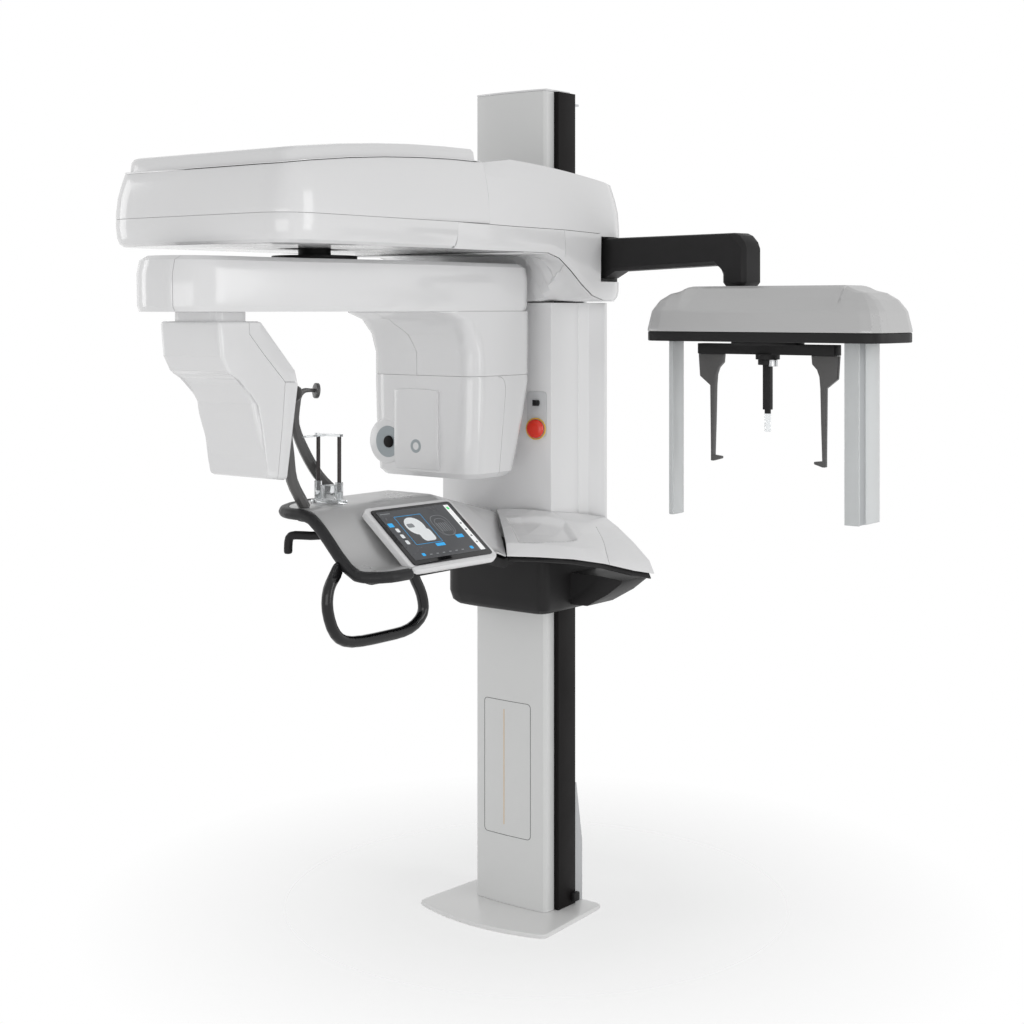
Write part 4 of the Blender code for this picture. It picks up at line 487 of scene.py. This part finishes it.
sensor = covered("sensor_housing", white_plastic, edge=0.0015, turn=30)
ruled(sensor, "z", 1.292, 1.588, 0.0033)
ruled(sensor, "x", -0.098, 0.099, 0.006)
ruled(sensor, "y", -1.300, -1.150, 0.003)
brow = [(-1.400, 1.574), (-1.300, 1.571), (-1.286, 1.560), (-1.276, 1.547), (-1.243, 1.528),
        (-1.207, 1.495), (-1.182, 1.467), (-1.170, 1.422), (-1.161, 1.371), (-1.151, 1.306),
        (-1.149, 1.270)]
for point in sensor.data.vertices:
    x, y, z = point.co
    reach = -1.0
    for (y0, z0), (y1, z1) in zip(brow, brow[1:]):
        if z1 <= z <= z0:
            edge_y = y0 + (y1 - y0) * (z0 - z) / (z0 - z1)
            slope = math.hypot(y1 - y0, z0 - z1) / max(z0 - z1, 1e-6)
            reach = max(reach, (edge_y - y) / slope)
    top = 1.572 - 0.010 * (x / 0.1) ** 2
    reach = min(reach, top - z) if z > 1.545 else reach
    sunk = ease(reach / 0.014)
    if sunk > 0:
        point.co.y = y + (0.011 + 0.022 * ease((z - 1.43) / 0.125)) * sunk
        point.co.x = x - math.copysign(0.0045, x) * sunk * min(1.0, abs(x) / 0.06)
seam(sensor, "x", [(-1.211, 1.690), (-1.212, 1.632), (-1.166, 1.584), (-1.098, 1.518),
                   (-1.105, 1.436), (-1.123, 1.283)], 0.088, 0.106, turn=60)
seam(sensor, "x", [(-1.098, 1.518), (-1.050, 1.5165)], 0.088, 0.106, turn=60)
covered("xray_detector", black_plastic, edge=0.001)

# ---- Patient support ----------------------------------------------------------------------------
# A cast arm carries the platform's painted shell. A rubber bumper is pressed round the shell's rim.
# A glossy coated loop to hold hangs below it, and a moulded hook sits under its front.
silver_paint = finish("silver_satin", (0.50, 0.50, 0.50), 0.3, grain=420, metal=0.35)
rubber = finish("bumper_rubber", (0.018, 0.018, 0.019), 0.42, grain=500, height=0.00008, shine=0.25)
gloss_black = finish("gloss_black_coat", (0.004, 0.004, 0.0045), 0.14, grain=120, height=0.00001,
                     shine=0.4)
covered("arm_casting", black_plastic, edge=0.001)
covered("arm_cover", white_plastic, edge=0.001, turn=40)
covered("platform_shell", silver_paint, edge=0.001, turn=40)


def smoothed(piece, fine, passes, swell=0.0):
    """Blend a moulded or dipped piece into one soft skin, a little fuller than its core."""
    skin = piece.modifiers.new("skin", "REMESH")
    skin.mode = "VOXEL"
    skin.voxel_size = fine
    relax = piece.modifiers.new("relax", "SMOOTH")
    relax.iterations = passes
    relax.factor = 0.5
    apply_all(piece)
    for point, push in [(point, point.normal * swell) for point in piece.data.vertices]:
        point.co += push
    bpy.ops.object.shade_smooth()


bumper = covered("bumper_band", rubber, edge=0.0, turn=50)
smoothed(bumper, 0.0025, 3, 0.0035)
for point in bumper.data.vertices:
    point.co.z -= 0.004
loop = covered("loop_handle", gloss_black, edge=0.0, turn=60)
front_end_low, front_end_back, up_to_bumper = 1.066, -0.9, Vector((0.0, 0.014, 0.022))
for point in loop.data.vertices:
    if point.co.z > front_end_low and point.co.y < front_end_back:
        point.co += up_to_bumper
smoothed(loop, 0.002, 16, 0.0014)
hook = covered("hook_handle", black_plastic, edge=0.0, turn=60)
smoothed(hook, 0.002, 4, 0.0040)

# ---- Touch screen -------------------------------------------------------------------------------
# A glass touch panel is bonded into a white moulded frame, which is screwed to the platform at a
# slant so that the user can read it from the side.
screen_glass = finish("screen_glass", (0.006, 0.006, 0.007), 0.07, grain=60, height=0.00001)
covered("screen_housing", white_plastic, edge=0.001)
glass = covered("touch_screen", screen_glass, edge=0.0005)

# ---- Screen picture -----------------------------------------------------------------------------
# Under the glass shines a plain picture: a rounded pale shape in a thin frame, an arch beside it,
# a column of tools and a few keys. It is shown as lit films that lie a hair above the glass.
face = max(glass.data.polygons, key=lambda side: side.area if side.normal.z > 0.5 else 0.0)
rim_points = [glass.data.vertices[i].co for i in face.vertices]
up = face.normal.copy()
sides = [b - a for a, b in zip(rim_points, rim_points[1:] + rim_points[:1])]
along = max(sides, key=lambda side: side.length if abs(side.y) > abs(side.x) else 0.0).normalized()
along = along if along.y > 0 else -along
down = along.cross(up)
down = down if down.z < 0 else -down
spread = [point.dot(along) for point in rim_points]
fall = [point.dot(down) for point in rim_points]
first = min(spread) * along + min(fall) * down
first += up * rim_points[0].dot(up)
wide_run = (max(spread) - min(spread)) * along
tall_run = (max(fall) - min(fall)) * down


def lit(name, colour, glow):
    """The light of one film of the picture, faintly uneven like a lit panel."""
    made = finish(name, colour, 0.25, grain=900, height=0.00001, uneven=0.06)
    shader = made.node_tree.nodes["Principled BSDF"]
    shader.inputs["Emission Color"].default_value = (*colour, 1.0)
    shader.inputs["Emission Strength"].default_value = glow
    return made


def tile(u0, u1, w0, w1, material, lift, corner=0.0012, rim=0.0):
    """One film of the picture: u runs from 0 to 1 along the screen and w from 0 to 1 down it."""
    wide, tall = (u1 - u0) * wide_run.length, (w1 - w0) * tall_run.length
    bpy.ops.object.select_all(action="DESELECT")
    bpy.ops.mesh.primitive_plane_add(size=1.0)
    piece = bpy.context.object
    piece.scale = (tall, wide, 1.0)
    bpy.ops.object.transform_apply(scale=True)
    bpy.ops.object.mode_set(mode="EDIT")
    bpy.ops.mesh.select_all(action="SELECT")
    bpy.ops.mesh.bevel(offset=min(corner, wide / 2.05, tall / 2.05), segments=6, affect="VERTICES")
    if rim:
        bpy.ops.mesh.inset(thickness=rim)
        bpy.ops.mesh.delete(type="FACE")
    bpy.ops.object.mode_set(mode="OBJECT")
    wall = piece.modifiers.new("wall", "SOLIDIFY")
    wall.thickness = 0.00015
    wall.offset = 1.0
    apply_all(piece)
    place = first + wide_run * (u0 + u1) / 2 + tall_run * (w0 + w1) / 2 + up * lift
    turned = Matrix((down, along, up)).transposed().to_4x4()
    piece.matrix_world = Matrix.Translation(place) @ turned
    alone(piece)
    bpy.ops.object.transform_apply(location=True, rotation=True, scale=True)
    piece.data.materials.append(material)
    films.append(piece)


films = []
slate = lit("slate", (0.05, 0.052, 0.056), 0.5)
pale = lit("pale", (0.6, 0.62, 0.63), 0.5)
blue = lit("blue", (0.02, 0.30, 0.62), 0.7)
white = lit("white", (0.75, 0.76, 0.76), 0.5)
green = lit("green", (0.05, 0.55, 0.15), 0.7)
dim = lit("dim", (0.2, 0.21, 0.22), 0.4)
tile(0.045, 0.955, 0.045, 0.93, slate, 0.0004, corner=0.002)
tile(0.20, 0.53, 0.16, 0.68, blue, 0.0007, corner=0.0006, rim=0.0010)
tile(0.25, 0.47, 0.20, 0.52, pale, 0.0007, corner=0.030)
tile(0.33, 0.49, 0.42, 0.64, pale, 0.0009, corner=0.012)
tile(0.27, 0.35, 0.31, 0.38, dim, 0.0011, corner=0.004)
tile(0.58, 0.79, 0.22, 0.60, dim, 0.0007, corner=0.024, rim=0.0012)
tile(0.61, 0.76, 0.28, 0.60, dim, 0.0007, corner=0.018, rim=0.0012)
for step in range(5):
    tile(0.625 + step * 0.026, 0.633 + step * 0.026, 0.36, 0.52, dim, 0.0007, corner=0.0006)
for step in range(3):
    tile(0.105, 0.145, 0.36 + step * 0.11, 0.43 + step * 0.11, pale, 0.0007, corner=0.003)
tile(0.065, 0.125, 0.26, 0.33, blue, 0.0007)
tile(0.73, 0.82, 0.60, 0.66, blue, 0.0007)
tile(0.42, 0.53, 0.70, 0.75, blue, 0.0007)
tile(0.17, 0.21, 0.83, 0.88, blue, 0.0007, corner=0.003)
tile(0.78, 0.82, 0.83, 0.88, blue, 0.0007, corner=0.003)
for step in range(6):
    tile(0.26 + step * 0.08, 0.29 + step * 0.08, 0.86, 0.875, dim, 0.0007)
tile(0.07, 0.19, 0.085, 0.10, dim, 0.0007)
tile(0.885, 0.945, 0.06, 0.92, white, 0.0007)
tile(0.900, 0.930, 0.10, 0.15, green, 0.0009, corner=0.003)
for step in range(4):
    tile(0.903, 0.927, 0.40 + step * 0.12, 0.43 + step * 0.12, dim, 0.0009, corner=0.002)
bpy.ops.object.select_all(action="DESELECT")
for film_piece in films:
    film_piece.select_set(True)
bpy.context.view_layer.objects.active = films[0]
bpy.ops.object.join()
picture = films[0]
picture.name = "screen_picture"
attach(picture, "carriage")

# ---- Chin rest, bite and temple supports ---------------------------------------------------------
# The chin rest is cast in clear acrylic and plugs into the platform. The bite support slides in it
# on two steel rods under a clear bridge. Two arms of dark plastic with round pads hold the temples.
clear_plastic = finish("clear_acrylic", (0.9, 0.92, 0.93), 0.08, grain=60, height=0.00002)
clear_plastic.node_tree.nodes["Principled BSDF"].inputs["Transmission Weight"].default_value = 0.85
clear_plastic.node_tree.nodes["Principled BSDF"].inputs["IOR"].default_value = 1.2
dark_steel = finish("dark_steel", (0.05, 0.045, 0.045), 0.25, grain=400, metal=0.8)
dark_grey = finish("temple_dark_grey", (0.085, 0.083, 0.082), 0.32, grain=300)
covered("chin_rest", clear_plastic, edge=0.0006)
bite = covered("bite_support", dark_steel, edge=0.0003)


def tipped(piece, material, chosen):
    """Give a second material to the faces that are chosen."""
    piece.data.materials.append(material)
    for face in piece.data.polygons:
        if chosen(face):
            face.material_index = 1


tipped(bite, clear_plastic, lambda face: face.center.z > 1.372)
covered("temple_arm_left", dark_grey, edge=0.0, turn=40)
covered("temple_arm_right", dark_grey, edge=0.0, turn=40)

# ---- Lower housing and wing ----------------------------------------------------------------------
# A black moulded housing hangs under the carriage round the mast. The gloss white wing lies on it,
# with a shallow tray pressed into its top, and a black lining closes the wing from below. The
# lining is the wing's underside returning inward, and its black is painted shade under the wing.
covered("lower_housing", black_plastic, edge=0.002, turn=35)
wing = covered("wing_cover", white_plastic, edge=0.0015, turn=35)
ruled(wing, "x", 0.095, 0.315, 0.004)
ruled(wing, "y", -0.425, -0.165, 0.004)
tray = [(0.112, -0.282), (0.236, -0.180), (0.292, -0.200), (0.246, -0.400)]


def in_tray(x, y):
    """How far a place lies inside the tray's outline, in metres."""
    return min(((by - ay) * (x - ax) - (bx - ax) * (y - ay)) / math.hypot(bx - ax, by - ay)
               for (ax, ay), (bx, by) in zip(tray, tray[1:] + tray[:1]))


for point in wing.data.vertices:
    point.co.z -= 0.015 * ease((in_tray(point.co.x, point.co.y) + 0.002) / 0.014)
alone(wing)
bpy.ops.object.shade_smooth_by_angle(angle=math.radians(50))
seam(wing, "z", [(0.262, -0.072), (0.300, -0.098), (0.348, -0.135), (0.372, -0.150)], 0.98, 1.13, turn=50)
# The wing's underside, a shrunken and lowered copy of the wing; its black colour is painted shade.
shade_lining = merged_copy("wing_cover", "wing_shade_lining")
ruled(shade_lining, "x", 0.080, 0.330, 0.012)
ruled(shade_lining, "y", -0.440, -0.150, 0.012)
centre_x, centre_y, within, under = 0.21, -0.20, 0.965, 0.013
for point in shade_lining.data.vertices:
    x, y, z = point.co
    deeper = 0.019 * ease((in_tray(x, y) + 0.022) / 0.014)
    point.co = (centre_x + (x - centre_x) * within, centre_y + (y - centre_y) * within,
                z - under - deeper)
# Black plastic here is painted shade under the wing's edge, not the underside's own colour.
settle(shade_lining, "wing_shade_lining", black_plastic, "carriage", edge=0.001, turn=35)

# ---- Switches -----------------------------------------------------------------------------------
# A frosted plate is let into the column's front cover. It holds a black rocker for the power and,
# inside a yellow collar, the red moulded button that stops the machine.
red_plastic = finish("stop_red", (0.78, 0.035, 0.016), 0.2, grain=300)
frosted = finish("frosted_panel", (0.62, 0.63, 0.64), 0.5, grain=600)
yellow_plastic = finish("warning_yellow", (0.85, 0.50, 0.03), 0.35, grain=300)
covered("switch_plate", frosted, edge=0.0008)
out = Vector((0.1999, -0.9798, 0.0))
middle = Vector((0.1545, -0.209, 1.3617))
collar = round_piece(middle - out * 0.0085, out, 0.0298, 0.0034, hole=0.0268)
settle(collar, "stop_collar", yellow_plastic, "carriage", edge=0.0006)
button = covered("estop_button", red_plastic, edge=0.0012, turn=20)
cap_base, cap_growth = -0.0040, 0.19
for point in button.data.vertices:
    away = point.co - middle
    if away.dot(out) > cap_base:
        point.co += (away - out * away.dot(out)) * cap_growth
covered("power_rocker", black_plastic, edge=0.0006)

# ---- Cephalometric arm ----------------------------------------------------------------------------
# A black box arm, bolted to the side of the carriage, reaches out and turns down at its end. It
# carries a long head, whose silver shell narrows to a ridge and is screwed to a black pan.
covered("ceph_arm", black_plastic, edge=0.001)
dome = covered("ceph_head_shell", silver_paint, edge=0.001, turn=35)
holder_x, holder_y = 0.870, -0.200
ruled(dome, "x", 0.600, 1.190, 0.008)
ruled(dome, "z", 1.640, 1.742, 0.006)
ruled(dome, "y", -0.296, -0.104, 0.008)
for point in dome.data.vertices:
    x, y, z = point.co
    middle_part = ease((x - 0.668) / 0.026) * ease((1.118 - x) / 0.026)
    slope = min(max((z - 1.686) / 0.059, 0.0), 1.0)
    point.co.y = holder_y + (y - holder_y) * (1.0 - 0.50 * middle_part * slope)
    ends = 1.0 - ease((x - 0.640) / 0.045) * ease((1.146 - x) / 0.045)
    point.co.z -= 0.014 * ends * slope
alone(dome)
bpy.ops.object.shade_smooth_by_angle(angle=math.radians(28))
covered("ceph_head_pan", black_plastic, edge=0.003)

# ---- Head holder ----------------------------------------------------------------------------------
# Under the pan turns a black bar with two dark grey ear brackets, which slide apart along it. A
# stem with a clear tip for the nose hangs from a round slider, which a steel screw clamps.
covered("head_holder_bar", black_plastic, edge=0.001)


def ear_bracket(node, outline):
    """A blade cut to its outline, with a wide root under the bar and a small plug at its tip."""
    bpy.ops.object.select_all(action="DESELECT")
    bpy.ops.mesh.primitive_circle_add(vertices=len(outline), radius=0.1, fill_type="NGON")
    piece = bpy.context.object
    for point, (x, z) in zip(piece.data.vertices, outline):
        point.co = (x, holder_y, z)
    wall = piece.modifiers.new("wall", "SOLIDIFY")
    wall.thickness = 0.013
    wall.offset = 0.0
    apply_all(piece)
    bpy.ops.object.mode_set(mode="EDIT")
    bpy.ops.mesh.select_all(action="SELECT")
    bpy.ops.mesh.normals_make_consistent(inside=False)
    bpy.ops.object.mode_set(mode="OBJECT")
    settle(piece, node + "_finished", dark_grey, BODY_OF[node], edge=0.0014)
    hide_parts(node)


blade = [(0.674, 1.5752), (0.747, 1.5752), (0.745, 1.554), (0.732, 1.541), (0.7255, 1.524),
         (0.723, 1.496), (0.721, 1.411), (0.718, 1.321), (0.740, 1.3185), (0.740, 1.3125),
         (0.718, 1.306), (0.710, 1.306), (0.710, 1.335), (0.708, 1.496), (0.678, 1.519)]
ear_bracket("ear_arm_left", blade)
ear_bracket("ear_arm_right", [(2 * holder_x - x, z) for x, z in blade])
stem = covered("nasal_stem", black_plastic, edge=0.0008)
tip_top = 1.430
ruled(stem, "z", tip_top, tip_top, 1.0)
tipped(stem, clear_plastic, lambda face: face.center.z < tip_top)
knob = round_piece((0.892, -0.212, 1.564), (0, 0, -1), 0.011, 0.017, dish=0.001, sides=18)
settle(knob, "holder_knob", ground_steel, "nasal", edge=0.0008)
hub = round_piece((holder_x, holder_y, 1.5638), (0, 0, -1), 0.024, 0.014, dish=0.001)
settle(hub, "holder_hub", black_plastic, "nasal", edge=0.002)

# ---- Sensor and collimator panels ------------------------------------------------------------------
# Two pale panels of faintly translucent plastic hang from the cephalometric head's rails and scan
# side by side. The sensor's has a long grey recess in its outer side.
panel_white = finish("panel_translucent", (0.74, 0.76, 0.765), 0.22, grain=260, height=0.00003)
panel_white.node_tree.nodes["Principled BSDF"].inputs["Transmission Weight"].default_value = 0.25
panel_grey = finish("panel_recess_grey", (0.40, 0.415, 0.425), 0.35, grain=260)
plate = covered("ceph_sensor", panel_white, edge=0.001)
tipped(plate, panel_grey, lambda face: face.normal.x > 0.5 and face.center.x < 1.1425)
covered("ceph_collimator", panel_white, edge=0.001)
